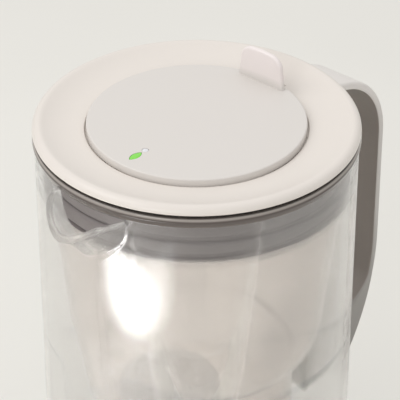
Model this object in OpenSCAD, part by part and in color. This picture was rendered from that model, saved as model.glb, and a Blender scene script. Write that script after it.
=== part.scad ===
// Water filter pitcher: glass jug, lift-out funnel with cartridge, lid ring and flip flap.
// +X points to the handle, -X to the spout, and the origin is the centre of the base.

/* [Jug] */
// Outer diameter of the glass
jug_d = 139.6; // [130:0.2:150]
// Height of the glass from base to rim
jug_h = 256.4; // [235:0.2:285]
// Thickness of the glass wall
glass_wall = 3; // [2.4:0.1:3.6]
// Thickness of the glass floor
glass_floor = 6; // [4:0.5:10]
// Radius of the rounded corner at the base
base_corner = 9; // [6:0.5:14]
// How far the rim bead stands out of the wall
rim_bead = 0.8; // [0.4:0.1:1.4]
// Height of the rim bead
rim_bead_h = 4.4; // [3:0.1:6]

/* [Spout] */
// Distance from the jug axis to the tip of the spout
spout_reach = 86.4; // [81:0.2:92]
// Width of the spout where it leaves the wall
spout_w = 41; // [32:1:46]
// Depth of the spout's upper corners below the rim
spout_drop = 7; // [6:0.5:9]
// Depth of the spout's tip below the rim
spout_tip_drop = 14; // [12:0.5:17]
// Depth of the spout's foot below the rim
spout_foot_drop = 31; // [26:1:38]
// Thickness of the glass in the spout
spout_wall = 2.6; // [2:0.1:3]

/* [Handle] */
// Distance from the jug axis to the outer face of the handle
handle_reach = 119.5; // [112:0.5:130]
// Width of the handle band
handle_w = 26; // [20:0.5:32]
// Thickness of the handle band
handle_t = 4; // [3:0.1:5.5]
// Rounding along the edges of the handle band
handle_edge_r = 1.4; // [0.6:0.1:1.5]
// Depth of the handle's upper end below the rim
handle_drop = 9; // [8:0.5:14]
// Radius of the bend at the top
handle_bend = 38; // [28:1:44]
// Length of the straight grip
grip_run = 59; // [45:1:80]
// Radius of the long curve below the grip
grip_curve = 97; // [80:1:110]
// Radius of the last bend into the foot
foot_bend = 9.7; // [8:0.1:12]
// Width of the foot on the glass
foot_w = 28; // [28:0.5:34]
// Height of the foot on the glass
foot_h = 30; // [24:0.5:36]
// Rise of the arch at the top of the foot
foot_arch = 11; // [8:0.5:13]
// Turn of the long curve where the foot leaves the band, in degrees
foot_blend = 12; // [8:1:18]
// Height of the plate at the upper end
top_plate_h = 13; // [10:0.5:18]
// Thickness of the plate at the upper end
top_plate_t = 3.2; // [2.4:0.1:4.5]
// Thickness of the bonding pads on the glass
pad_t = 0.6; // [0.4:0.1:1.2]

/* [Funnel] */
// Thickness of the flange that rests on the rim
flange_t = 1.2; // [1:0.1:2]
// Width of the flange's rest on the rim
flange_rest = 1.7; // [1.6:0.1:2.8]
// Clearance between the collar and the glass
collar_gap = 0.6; // [0.5:0.1:1]
// Depth of the collar below the rim
collar_h = 26.9; // [24:0.1:32]
// Thickness of the collar behind the seal
collar_wall = 2; // [1.6:0.1:2.6]
// Thickness of the funnel wall
funnel_wall = 2; // [1.6:0.1:2.6]
// Clearance between the top of the bowl and the glass
bowl_gap = 3.2; // [2.4:0.1:5]
// Loss of bowl radius for each millimetre of depth
bowl_taper = 0.078; // [0.06:0.002:0.09]
// Depth at which the bowl starts to round in
bowl_side_h = 58; // [50:1:62]
// Depth at which the bowl meets the well
bowl_h = 86; // [82:1:92]
// Outer radius of the well below the bowl
well_r = 44; // [42:0.2:46]
// Depth of the well's floor below the collar
well_floor_h = 122; // [116:1:128]
// Depth of the drip skirt below the collar
skirt_h = 138; // [130:1:145]
// Width of the chute that faces the spout
chute_w = 50; // [40:1:60]
// Depth of the chute below the collar
chute_h = 110; // [104:1:114]
// Width of the rib down the spout side
rib_w = 1.6; // [1:0.1:2.4]
// Height of the rib above the funnel's side
rib_h = 0.5; // [0.3:0.1:0.8]

/* [Funnel seal] */
// Distance from the rim to the seal's upper edge
seal_drop = 3.4; // [3:0.1:5]
// Height of the ribbed seal
seal_h = 19.5; // [16:0.1:21]
// Clearance between the seal's ribs and the glass
seal_gap = 0.4; // [0.3:0.05:0.6]
// Depth of the grooves between the ribs
seal_groove = 1.4; // [0.8:0.1:1.6]
// Height of each groove between the ribs
seal_groove_h = 1.1; // [0.8:0.1:1.6]
// Distance from the seal's lower edge to its lower groove
seal_lip = 0.6; // [0.5:0.1:1.5]
// Distance between the seal's two grooves
seal_pitch = 8.3; // [6:0.1:9]

/* [Cartridge] */
// Clearance between the cartridge cap and the well on the spout side
cap_clear = 0.8; // [0.5:0.1:2]
// Outer radius of the cartridge cup
cart_r = 20; // [18:0.2:21]
// Length of the cartridge cup below the well's floor
cart_len = 80; // [65:1:86]
// Thickness of the cartridge wall
cart_wall = 1.6; // [1.2:0.1:2]
// Clearance between the cartridge and its socket
cart_gap = 0.4; // [0.3:0.05:0.6]
// Height of the cap above the well's floor
cap_h = 24; // [20:0.5:27]
// How far the cap stands out round the cup
cap_lip = 2.6; // [2.2:0.1:3.2]
// Outer width of the pull ring
ring_w = 27; // [22:0.5:30]
// Height of the pull ring above the cap
ring_h = 16; // [14:0.5:20]
// Thickness of the pull ring
ring_t = 2.4; // [2:0.1:3.2]

/* [Lid] */
// How far the lid's edge stands out past the glass
lid_over = 0.7; // [0.4:0.1:1.4]
// Width of the rounded edge of the lid
lid_edge_w = 3.6; // [3:0.1:6]
// Height of the lid's shoulder above its edge
lid_edge_h = 3.3; // [2.6:0.1:5]
// Depth of the dish from the shoulder to the flap
lid_dish = 3.9; // [3:0.1:4.4]
// Thickness of the lid plate beside the flap
lid_plate = 3.4; // [3:0.1:4.2]
// Depth of the lid's skirt below its edge
lid_skirt_h = 14; // [12:0.5:16]
// Thickness of the lid's skirt
lid_skirt_t = 2; // [1.6:0.1:2.4]
// Width of the gap between the skirt and the collar
lid_seal_w = 2.2; // [1.8:0.1:2.6]
// Height of the lid's sealing ring
lid_seal_h = 4; // [3:0.1:5]

/* [Flap] */
// Radius of the flap
flap_r = 47.3; // [46:0.1:48.5]
// Thickness of the flap at its edge
flap_edge_h = 4; // [3.6:0.1:5]
// Thickness of the flap's top wall
flap_skin = 2.2; // [1.8:0.1:2.6]
// Rounding of the flap's upper edge
flap_round = 1.1; // [0.6:0.1:1.2]
// Clearance round the flap
flap_gap = 0.6; // [0.4:0.05:0.8]
// Width of the ledge that carries the flap
ledge_w = 5.1; // [4.6:0.1:5.6]
// Depth of the plug ring below the flap
plug_h = 3.4; // [2.6:0.1:4]
// Width of the thumb tab at its base
tab_w = 25.5; // [20:0.5:28]
// Height of the thumb tab above the flap
tab_h = 15.5; // [12:0.5:18]
// Thickness of the thumb tab
tab_t = 2.4; // [2:0.1:3.2]
// Width of the thumb tab at its top
tab_top_w = 21; // [16:0.5:22]
// Corner radius of the thumb tab
tab_corner = 7.5; // [5:0.5:8]
// Distance from the axis to the outer face of the tab
tab_x = 44.6; // [43.5:0.1:45]

/* [Hinge] */
// Distance of the hinge axis behind the flap's edge
hinge_back = 1.5; // [1.3:0.1:1.9]
// Depth of the hinge axis below the lid's edge
hinge_drop = 2.6; // [2.4:0.1:2.8]
// Radius of the hinge pin
hinge_pin_r = 0.8; // [0.7:0.05:0.9]
// Length of the hinge pin
hinge_pin_len = 24; // [22:0.5:27]
// Radius of the flap's knuckle
knuckle_r = 1.9; // [1.8:0.05:2]
// Width of the flap's knuckle
knuckle_w = 14; // [12:0.5:16]
// Running clearance of the pin in the knuckle
hinge_fit = 0.08; // [0.05:0.01:0.1]

/* [Filter life indicator] */
// Distance from the jug axis to the outer end of the lens
lens_x = 42.4; // [41:0.1:42.6]
// Length of the green lens
lens_len = 7.6; // [6:0.1:9]
// Width of the green lens
lens_w = 3.4; // [2.6:0.1:4.4]
// Length of the clear window beside the lens
window_len = 2.8; // [2:0.1:3.4]
// Clearance round the lens and the window
lens_fit = 0.1; // [0.05:0.05:0.2]
// Distance from the axis to the pod's outer face
pod_x = 38.8; // [36:0.2:39.2]
// Length of the pod under the flap
pod_len = 35; // [34:0.5:36]
// Width of the pod
pod_w = 29; // [27:0.5:31]
// Depth of the pod below the flap
pod_h = 9; // [8.4:0.1:11]
// Thickness of the pod walls
pod_wall = 1.4; // [1.2:0.1:1.8]
// Diameter of the coin cell
cell_d = 20; // [18:0.5:21]
// Thickness of the coin cell
cell_t = 3.2; // [2.5:0.1:3.4]
// Thickness of the circuit board
board_t = 1; // [0.8:0.1:1.2]
// Length of the cover's screws under their heads
screw_len = 5; // [4:0.1:5.6]
// Radius of the reset button
button_r = 2.4; // [2:0.1:2.6]
// Travel of the reset button
button_travel = 0.6; // [0.4:0.05:0.7]

/* [Hidden] */
$fn = 96;

eps = 0.01;
// How far a cut runs past the faces that it opens
over = 1;
// Facets of the wide pad faces, of pins and small bores, and of screws
wide_fn = 180;
pin_fn = 48;
screw_fn = 32;

jug_r = jug_d / 2;
jug_ri = jug_r - glass_wall;

// The lid's edge lies one flange and a small step above the rim
lid_step = 0.4;
edge_z = jug_h + flange_t + lid_step;

// Points along an elliptic arc in a section
function arc(c, rx, ry, a0, a1, n = 8) =
    [for (i = [0:n]) c + [rx * cos(a0 + (a1 - a0) * i / n), ry * sin(a0 + (a1 - a0) * i / n)]];

// Glass jug: a turned body with a pulled spout below the rim
spout_top_z = jug_h - spout_drop;
spout_tip_z = jug_h - spout_tip_drop;
spout_foot_z = jug_h - spout_foot_drop;
lip_start = 5.6;
tip_share = 0.86;
spout_power = 1.5;
// Inner radius of the bead's section, and the break of the rim's inner edge, wide and high
bead_back = 1.2;
rim_break = [0.8, 1];
// Ball at the foot of the beak, and how far the hollow of the beak starts inside the wall
beak_ball = 3;
beak_sunk = 0.4;
beak_open = 6;
// How much the beak's upper corners stand back from its tip
beak_back = 1.4;

module jug_outside() {
    bead_z = jug_h - rim_bead_h / 2;
    rotate_extrude()
        polygon(concat([[0, 0]],
            arc([jug_r - base_corner, base_corner], base_corner, base_corner, -90, 0),
            [[jug_r, jug_h - rim_bead_h]],
            arc([jug_r - bead_back, bead_z], bead_back + rim_bead, rim_bead_h / 2, -50, 90),
            [[0, jug_h]]));
}

module jug_inside() {
    rotate_extrude()
        polygon(concat([[0, glass_floor]],
            arc([jug_ri - base_corner, glass_floor + base_corner], base_corner, base_corner, -90, 0),
            [[jug_ri, jug_h - rim_break[1]]],
            [[jug_ri + rim_break[0], jug_h + eps], [0, jug_h + eps]]));
}

// Half of a rounded V in plan, its open side on the line x = -root
function beak_plan(root, reach, w, n = 24) =
    [for (i = [-n:n]) let (s = i / n)
        [-root - (reach - root) * pow(1 - pow(abs(s), spout_power), 1 / spout_power), s * w / 2]];

module beak_slab(z, root, reach, w, h) {
    translate([0, 0, z])
        linear_extrude(h) polygon(beak_plan(root, reach, w));
}

// Convex body of the beak, drawn in by inset for its hollow
module beak(inset, root) {
    tip_w = spout_w * tip_share;
    hull() {
        beak_slab(spout_top_z - eps, root, spout_reach - beak_back - inset, spout_w - 2 * inset, eps);
        beak_slab(spout_tip_z, root, spout_reach - inset, tip_w - 2 * inset, eps);
        translate([-jug_r + beak_ball + beak_sunk + inset, 0, spout_foot_z + beak_ball + inset])
            sphere(r = beak_ball, $fn = screw_fn);
    }
}

// Everything above the sloping lip of the spout
module lip_cut() {
    lead = 3;
    run = spout_reach - jug_r - lip_start;
    slope = atan((spout_tip_drop - spout_drop) / run);
    translate([-jug_r - lip_start + lead, 0, spout_top_z])
        rotate([0, -slope, 0])
            translate([-spout_w, -spout_w, 0]) cube([spout_w, 2 * spout_w, spout_drop + spout_tip_drop]);
}

module glass_jug() {
    color("aliceblue")
        difference() {
            union() {
                jug_outside();
                difference() {
                    beak(0, jug_ri);
                    lip_cut();
                }
            }
            jug_inside();
            beak(spout_wall, jug_ri - beak_open);
        }
}

// Handle: a band of arcs and straight runs, bonded to the glass at both ends
pad_r = jug_r + pad_t;
band_mid = handle_reach - handle_t / 2;
arm_z = jug_h - handle_drop;

// Slope of the arm and turn of the long curve, each as a cosine and a sine
slope_cs = [0.96, 0.28];
turn_cs = [0.8, 0.6];
handle_slope = atan2(slope_cs[1], slope_cs[0]);
grip_turn = atan2(turn_cs[1], turn_cs[0]);

arm_x = band_mid - handle_bend * (1 - slope_cs[1]);
arm_run = (arm_x - pad_r) / slope_cs[0];
bend_start = [arm_x, round(100 * (arm_z - arm_run * slope_cs[1])) / 100];
bend_centre = bend_start - handle_bend * [slope_cs[1], slope_cs[0]];
grip_end_z = bend_centre[1] - grip_run;
curve_centre = [band_mid - grip_curve, grip_end_z];
curve_end = curve_centre + grip_curve * [turn_cs[0], -turn_cs[1]];
knee_run = 3;
knee_end = curve_end - knee_run * [turn_cs[1], turn_cs[0]];
foot_centre = knee_end - foot_bend * [turn_cs[0], -turn_cs[1]];
foot_mid_z = foot_centre[1] - foot_bend;
foot_bottom_z = foot_mid_z - handle_t / 2;
foot_top_z = foot_bottom_z + foot_h;
blend_end = curve_centre + grip_curve * [cos(foot_blend), -sin(foot_blend)];
plate_low_z = arm_z - top_plate_h / 2 - over;
handle_sink = 4;
web_inset = 2;
web_drop = 4.5;
web_z = foot_top_z - web_drop;
// Degrees by which the web's outline stays short of the ends of the band's arcs
web_lead = [4, 9];
arc_slim = 0.05;
arc_over = 0.8;

// Rounded section of the band, drawn in by slim
module band_section(slim = 0) {
    w = handle_w / 2 - handle_edge_r - slim;
    t = handle_t / 2 - handle_edge_r - slim;
    polygon(concat(
        arc([t, w], handle_edge_r, handle_edge_r, 0, 90, 4),
        arc([-t, w], handle_edge_r, handle_edge_r, 90, 180, 4),
        arc([-t, -w], handle_edge_r, handle_edge_r, 180, 270, 4),
        arc([t, -w], handle_edge_r, handle_edge_r, 270, 360, 4)));
}

// Straight run of the band from a point in the XZ plane, a angle below the +X direction
module band_run(start, a, len) {
    translate([start[0], 0, start[1]])
        rotate([0, 90 + a, 0])
            linear_extrude(len) band_section();
}

// Curved run of the band about a centre in the XZ plane, its ends held inside the straight runs
module band_arc(centre, r, a0, a1) {
    over = atan(arc_over / r);
    translate([centre[0], 0, centre[1]])
        rotate([90, 0, 0])
            rotate([0, 0, a1 - over])
                rotate_extrude(angle = a0 - a1 + 2 * over)
                    translate([r, 0]) band_section(arc_slim);
}

// Arched outline of the foot, seen along X
module foot_outline() {
    shoulder_z = foot_top_z - foot_arch;
    polygon(concat([[-foot_w / 2, foot_bottom_z], [foot_w / 2, foot_bottom_z]],
        arc([0, shoulder_z], foot_w / 2, foot_arch, 0, 180, 16)));
}

// Side outline of the foot: a hollow curve above, the middle of the band below
module foot_side() {
    x_in = jug_r - handle_sink;
    polygon(concat([[x_in, foot_mid_z], [x_in, web_z]],
        arc([pad_r, blend_end[1]], blend_end[0] - pad_r, blend_end[1] - web_z, -90, 0, 12),
        arc(curve_centre, grip_curve, grip_curve, -foot_blend - web_lead[0], -grip_turn, 6),
        arc(foot_centre, foot_bend, foot_bend, -grip_turn - web_lead[1], -90, 5)));
}

// Solid web between the band and the foot
module foot_web() {
    half_w = handle_w / 2 - web_inset;
    translate([0, half_w, 0])
        rotate([90, 0, 0]) linear_extrude(2 * half_w) foot_side();
}

// Arched plate of the foot against the glass
module foot_plate() {
    intersection() {
        translate([jug_r - handle_sink * 3, 0, 0])
            rotate([90, 0, 90]) linear_extrude(foot_w) foot_outline();
        cylinder(r = pad_r + top_plate_t, h = jug_h);
    }
}

// Square plate of the upper end against the glass
module top_plate() {
    intersection() {
        translate([0, 0, plate_low_z]) cylinder(r = pad_r + top_plate_t, h = top_plate_h);
        translate([0, -handle_w / 2, 0]) cube([jug_d, handle_w, jug_h]);
    }
}

module handle_grip() {
    sink = handle_sink + pad_t;
    color("gainsboro")
        difference() {
            union() {
                band_run(bend_start, 180 + handle_slope, arm_run + sink);
                band_arc(bend_centre, handle_bend, 90 - handle_slope, 0);
                translate([band_mid, 0, grip_end_z])
                    linear_extrude(grip_run) band_section();
                band_arc(curve_centre, grip_curve, 0, -grip_turn);
                band_run(curve_end, 90 + grip_turn, knee_run);
                band_arc(foot_centre, foot_bend, -grip_turn, -90);
                band_run([foot_centre[0], foot_mid_z], 180, foot_centre[0] - pad_r + sink);
                foot_web();
                foot_plate();
                top_plate();
            }
            cylinder(r = pad_r, h = jug_h + handle_drop + over, $fn = wide_fn);
        }
}

// Thin bonding pad between the glass and one end of the handle
module bond_pad() {
    intersection() {
        difference() {
            cylinder(r = pad_r, h = jug_h, $fn = wide_fn);
            translate([0, 0, -eps]) cylinder(r = jug_r, h = jug_h + over, $fn = wide_fn);
        }
        children();
    }
}

module handle_top_pad() {
    inset = 1; // the pad stays inside the plate's outline
    color("dimgray")
        bond_pad()
            translate([0, -handle_w / 2 + inset, plate_low_z + inset])
                cube([jug_d, handle_w - 2 * inset, top_plate_h - 2 * inset]);
}

module handle_foot_pad() {
    color("dimgray")
        bond_pad()
            translate([jug_r - handle_sink * 3, 0, 0])
                rotate([90, 0, 90]) linear_extrude(foot_w) foot_outline();
}

// Funnel: flange, collar, rounded bowl, well for the cartridge and drip skirt
collar_r = jug_ri - collar_gap;
flange_r = jug_ri + flange_rest;
collar_z = jug_h - collar_h;
seal_r = jug_ri - seal_gap;
seal_t = 2.2;
seal_bed_r = seal_r - seal_t;
collar_ri = seal_bed_r - collar_wall;
seal_top_z = jug_h - seal_drop;
seal_low_z = seal_top_z - seal_h;
well_floor_z = collar_z - well_floor_h;
well_top_z = well_floor_z + funnel_wall;
skirt_z = collar_z - skirt_h;
socket_r = cart_r + cart_gap;
cap_r = cart_r + cap_lip;
cart_offset = well_r - funnel_wall - cap_r - cap_clear;

bowl_top_r = jug_ri - bowl_gap;
chute_in = 20;
// Bow of the bowl's side, and the share of the wall that the bowl's inner turn drops
bowl_bow = 0.00046;
turn_drop = 0.6;

// Radius of the bowl's outer side at a depth below the collar
function bowl_r(d) = bowl_top_r - bowl_taper * d - bowl_bow * d * d;

// Side of the bowl, then a rounded turn in to the well, drawn in by the wall for the inside
function bowl_side(inset, n = 6) =
    [for (i = [0:n]) [bowl_r(bowl_side_h * i / n) - inset, collar_z - bowl_side_h * i / n]];

function bowl_turn(inset, n = 8) =
    let (r0 = bowl_r(bowl_side_h) - inset, z0 = collar_z - bowl_side_h,
         r1 = well_r - inset, z1 = collar_z - bowl_h + inset * turn_drop)
    [for (i = [1:n]) [r1 + (r0 - r1) * cos(90 * i / n), z0 + (z1 - z0) * sin(90 * i / n)]];

module bowl_body(inset, floor_z) {
    rotate_extrude()
        polygon(concat([[0, collar_z]], bowl_side(inset), bowl_turn(inset),
            [[well_r - inset, floor_z], [0, floor_z]]));
}

// Chute: the bowl's side carried on downwards where it faces the spout
module chute_body(inset, floor_z) {
    n = 6;
    intersection() {
        rotate_extrude()
            polygon(concat([[0, collar_z - bowl_side_h]],
                [for (i = [0:n]) let (d = bowl_side_h + (chute_h - bowl_side_h) * i / n)
                    [bowl_r(d) - inset, collar_z - d]],
                [[0, collar_z - chute_h]]));
        translate([-jug_r, -chute_w / 2 + inset, floor_z])
            cube([jug_r - chute_in, chute_w - 2 * inset, chute_h]);
    }
}

// Thin upright rib down the middle of the spout side
module funnel_rib() {
    intersection() {
        union() {
            bowl_body(-rib_h, well_floor_z);
            chute_body(-rib_h, collar_z - chute_h);
        }
        translate([-jug_r, -rib_w / 2, collar_z - chute_h])
            cube([jug_r - well_r, rib_w, chute_h]);
    }
}

module funnel_outside() {
    translate([0, 0, jug_h]) cylinder(r = flange_r, h = flange_t);
    translate([0, 0, seal_top_z]) cylinder(r = collar_r, h = seal_drop);
    translate([0, 0, seal_low_z - eps]) cylinder(r = seal_bed_r, h = seal_h + 2 * eps);
    translate([0, 0, collar_z]) cylinder(r = collar_r, h = seal_low_z - collar_z);
    translate([0, 0, skirt_z]) cylinder(r = well_r, h = well_floor_z - skirt_z);
    bowl_body(0, well_floor_z);
    chute_body(0, collar_z - chute_h);
    funnel_rib();
}

module funnel_inside() {
    translate([0, 0, collar_z - eps]) cylinder(r = collar_ri, h = collar_h + flange_t + over);
    intersection() {
        bowl_body(funnel_wall, well_top_z);
        translate([0, 0, skirt_z]) cylinder(r = collar_ri, h = jug_h);
    }
    chute_body(funnel_wall, collar_z - chute_h + funnel_wall);
    translate([0, 0, skirt_z - eps]) cylinder(r = well_r - funnel_wall, h = well_floor_z - skirt_z);
    translate([-cart_offset, 0, skirt_z]) cylinder(r = socket_r, h = well_floor_h);
}

module funnel() {
    color("whitesmoke")
        difference() {
            funnel_outside();
            funnel_inside();
        }
}

module funnel_seal() {
    color("darkgray")
        difference() {
            translate([0, 0, seal_low_z]) cylinder(r = seal_r, h = seal_h);
            translate([0, 0, seal_low_z - over]) cylinder(r = seal_bed_r, h = seal_h + 2 * over);
            for (i = [0:1])
                translate([0, 0, seal_low_z + seal_lip + i * seal_pitch])
                    difference() {
                        cylinder(r = seal_r + over, h = seal_groove_h);
                        translate([0, 0, -over])
                            cylinder(r = seal_r - seal_groove, h = seal_groove_h + 2 * over);
                    }
        }
}

// Cartridge: a cup of granules that hangs by its cap in the well's floor
cap_z = well_top_z + cap_h;
cart_low_z = well_floor_z - cart_len;
cup_floor = 3;
meshes_drop = 4;
mesh_t = 1;
cap_seat = 2;
collar_t = 1;
cap_base_z = well_top_z + cap_seat + collar_t;
// Clearance of the meshes and the granules in the cup
fill_fit = 0.1;
fill_r = cart_r - cart_wall - fill_fit;

module on_cart(z) {
    translate([-cart_offset, 0, z]) children();
}

module cartridge_cup() {
    slots = 12;
    slot_at = 0.45;
    slot_len = 0.35;
    slot_w = 1.8;
    color("lightgray")
        on_cart(0)
            difference() {
                union() {
                    translate([0, 0, cart_low_z]) cylinder(r = cart_r, h = cap_base_z - cart_low_z);
                    translate([0, 0, well_top_z + cap_seat]) cylinder(r = cap_r, h = collar_t);
                }
                translate([0, 0, cart_low_z + cup_floor])
                    cylinder(r = cart_r - cart_wall, h = cart_len + cap_h);
                for (i = [0:slots - 1])
                    rotate([0, 0, i * 360 / slots])
                        translate([cart_r * slot_at, -slot_w / 2, cart_low_z - over])
                            cube([cart_r * slot_len, slot_w, cup_floor + 3 * over]);
            }
}

module pull_ring() {
    band = 3;
    sunk = 1;
    arch_h = ring_h - ring_w / 2;
    rotate([90, 0, 90])
        translate([0, 0, -ring_t / 2])
            linear_extrude(ring_t)
                difference() {
                    union() {
                        translate([0, arch_h]) circle(r = ring_w / 2);
                        translate([-ring_w / 2, -sunk]) square([ring_w, arch_h + sunk]);
                    }
                    translate([0, arch_h]) circle(r = ring_w / 2 - band);
                    translate([-ring_w / 2 + band, 0]) square([ring_w - 2 * band, arch_h]);
                }
}

module cartridge_cap() {
    wall = 1.6;
    vent = 2.2;
    vents = 12;
    vent_at = 0.55;
    slots = 8;
    slot_rise = 5;
    slot_h = 9;
    slot_in = 3;
    ring_back = 8;
    color("white")
        on_cart(0) {
            difference() {
                translate([0, 0, cap_base_z]) cylinder(r = cap_r, h = cap_z - cap_base_z);
                translate([0, 0, cap_base_z - over])
                    cylinder(r = cap_r - wall, h = cap_z - cap_base_z - wall + over);
                for (i = [0:vents - 1])
                    rotate([0, 0, i * 360 / vents])
                        translate([cap_r * vent_at, 0, cap_z - 2 * wall])
                            cylinder(r = vent / 2, h = 3 * wall);
                for (i = [0:slots - 1])
                    rotate([0, 0, i * 360 / slots])
                        translate([cap_r - slot_in, -vent / 2, cap_base_z + slot_rise])
                            cube([2 * slot_in, vent, slot_h]);
            }
            translate([-ring_back, 0, cap_z]) pull_ring();
        }
}

module cartridge_top_mesh() {
    color("gray")
        on_cart(well_floor_z - meshes_drop)
            cylinder(r = fill_r, h = mesh_t);
}

module cartridge_bottom_mesh() {
    color("gray")
        on_cart(cart_low_z + cup_floor)
            cylinder(r = fill_r, h = mesh_t);
}

module filter_granules() {
    low = cart_low_z + cup_floor + mesh_t;
    color("dimgray")
        on_cart(low) cylinder(r = fill_r, h = well_floor_z - meshes_drop - low);
}

module cartridge_seal() {
    cap_seal_in = 0.3;
    color("slategray")
        on_cart(well_top_z)
            difference() {
                cylinder(r = cap_r - cap_seal_in, h = cap_seat);
                translate([0, 0, -over]) cylinder(r = cart_r, h = cap_seat + 2 * over);
            }
}

// Lid: a dished ring with a skirt inside the collar
lid_r = jug_r + lid_over;
shoulder_r = lid_r - lid_edge_w;
shoulder_z = edge_z + lid_edge_h;
well_edge_r = flap_r + flap_gap;
dish_z = shoulder_z - lid_dish;
ledge_step = 1.3;
ledge_z = dish_z - ledge_step;
ledge_r = well_edge_r - ledge_w;
plate_z = dish_z - lid_plate;
under_z = jug_h + flange_t;
skirt_ro = collar_ri - lid_seal_w;
skirt_ri = skirt_ro - lid_skirt_t;
lid_skirt_z = edge_z - lid_skirt_h;
hinge_x = flap_r + hinge_back;
hinge_z = edge_z - hinge_drop;
ledge_lip = 2.2;
ledge_lip_t = 2;
// Breaks of the lid's lower edge and of the dish's inner edge
foot_break = 1;
dish_break = 0.4;

// Slot for the knuckle and groove for the pin, which snaps in from below
slot_clear = 0.4;
slot_end = 0.5;
slot_lead = 1.2;
pin_play = 0.6;
snap_share = 0.9;
cut_deep = 5;
ear_bite = 0.5;

// Concave top of the lid, lowest beside the flap
function dish_line(n = 10) =
    [for (i = [0:n]) let (s = i / n)
        [shoulder_r + (well_edge_r + dish_break - shoulder_r) * s, dish_z + lid_dish * pow(1 - s, 2)]];

module lid_body() {
    rotate_extrude()
        polygon(concat(
            [[skirt_ro, under_z], [lid_r - foot_break, under_z], [lid_r, edge_z]],
            arc([shoulder_r, edge_z], lid_edge_w, lid_edge_h, 10, 90, 7),
            dish_line(),
            [[well_edge_r, dish_z - dish_break], [well_edge_r, ledge_z], [ledge_r, ledge_z],
             [ledge_r, plate_z - ledge_lip], [ledge_r + ledge_lip_t, plate_z - ledge_lip],
             [ledge_r + ledge_lip_t, plate_z], [skirt_ri, plate_z],
             [skirt_ri, lid_skirt_z], [skirt_ro, lid_skirt_z]]));
}

module lid_ring() {
    slot_w = knuckle_w + 2 * slot_clear;
    slot_r = knuckle_r + slot_end;
    ear_len = 6.4;
    ear_w = 6;
    ear_h = 1.6;
    bore_len = hinge_pin_len + pin_play;
    color("linen")
        difference() {
            union() {
                lid_body();
                for (s = [-1, 1])
                    translate([hinge_x - ear_len / 2, s * (slot_w + ear_w) / 2 - ear_w / 2, plate_z - ear_h])
                        cube([ear_len, ear_w, ear_h + ear_bite]);
            }
            translate([ledge_r - slot_lead, -slot_w / 2, plate_z - cut_deep])
                cube([hinge_x + slot_r - ledge_r + slot_lead, slot_w, 2 * cut_deep + 2 * over]);
            translate([hinge_x, bore_len / 2, hinge_z])
                rotate([90, 0, 0])
                    cylinder(r = hinge_pin_r + hinge_fit / 2, h = bore_len, $fn = pin_fn);
            translate([hinge_x - snap_share * hinge_pin_r, -bore_len / 2, plate_z - cut_deep])
                cube([2 * snap_share * hinge_pin_r, bore_len, hinge_z - plate_z + cut_deep]);
        }
}

module lid_seal() {
    lip_gap = 0.3;
    lip_h = 1;
    waist_gap = 1;
    rise = 3;
    color("darkgray")
        translate([0, 0, lid_skirt_z + rise])
            difference() {
                union() {
                    cylinder(r = collar_ri - lip_gap, h = lip_h);
                    cylinder(r = collar_ri - waist_gap, h = lid_seal_h);
                    translate([0, 0, lid_seal_h - lip_h]) cylinder(r = collar_ri - lip_gap, h = lip_h);
                }
                translate([0, 0, -over]) cylinder(r = skirt_ro, h = lid_seal_h + 2 * over);
            }
}

module hinge_pin() {
    color("silver")
        translate([hinge_x, hinge_pin_len / 2, hinge_z])
            rotate([90, 0, 0]) cylinder(r = hinge_pin_r, h = hinge_pin_len, $fn = pin_fn);
}

// Flap: a disc with a thumb tab, a knuckle, a plug ring and the indicator's pod
seat_gap = 0.3;
flap_low_z = ledge_z + seat_gap;
flap_top_z = flap_low_z + flap_edge_h;
flap_in_z = flap_top_z - flap_skin;
plug_r = ledge_r - flap_gap;
plug_wall = 1.8;
rim_wall = 1.8;
// How far ribs and walls reach into the plate that carries them
bite = 0.1;
pod_low_z = flap_low_z - pod_h;
pod_cover_t = 1.6;
cover_fit = 0.1;
cavity_low_z = pod_low_z + pod_cover_t + cover_fit;
pod_x1 = -pod_x;
pod_x2 = -pod_x + pod_len;

module flap_shell() {
    difference() {
        rotate_extrude()
            polygon(concat([[0, flap_low_z], [flap_r, flap_low_z]],
                arc([flap_r - flap_round, flap_top_z - flap_round], flap_round, flap_round, 0, 90, 5),
                [[0, flap_top_z]]));
        translate([0, 0, flap_low_z - over])
            cylinder(r = flap_r - rim_wall, h = flap_in_z - flap_low_z + over);
    }
}

module plug_ring() {
    translate([0, 0, flap_low_z - plug_h])
        difference() {
            cylinder(r = plug_r, h = flap_in_z - flap_low_z + plug_h + bite);
            translate([0, 0, -over]) cylinder(r = plug_r - plug_wall, h = plug_h + flap_edge_h + 2 * over);
        }
}

pod_in = 0.5;

module pod_outline(inset) {
    intersection() {
        translate([pod_x1 + inset, -pod_w / 2 + inset])
            square([pod_len - 2 * inset, pod_w - 2 * inset]);
        circle(r = plug_r - pod_in - inset);
    }
}

module pod_walls() {
    translate([0, 0, pod_low_z])
        difference() {
            linear_extrude(flap_in_z - pod_low_z + bite) pod_outline(0);
            translate([0, 0, -over]) linear_extrude(flap_in_z - pod_low_z + over) pod_outline(pod_wall);
        }
}

// Thumb tab: an upright plate with rounded upper corners
module thumb_tab() {
    z1 = flap_top_z + tab_h;
    top_y = tab_top_w / 2 - tab_corner;
    tab_lean = 8;
    translate([tab_x, 0, 0])
        rotate([90, 0, -90])
            linear_extrude(tab_t)
                polygon(concat(
                    [[-tab_w / 2, flap_top_z - over], [tab_w / 2, flap_top_z - over]],
                    arc([top_y, z1 - tab_corner], tab_corner, tab_corner, tab_lean, 90, 8),
                    arc([-top_y, z1 - tab_corner], tab_corner, tab_corner, 90, 180 - tab_lean, 8)));
}

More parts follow.
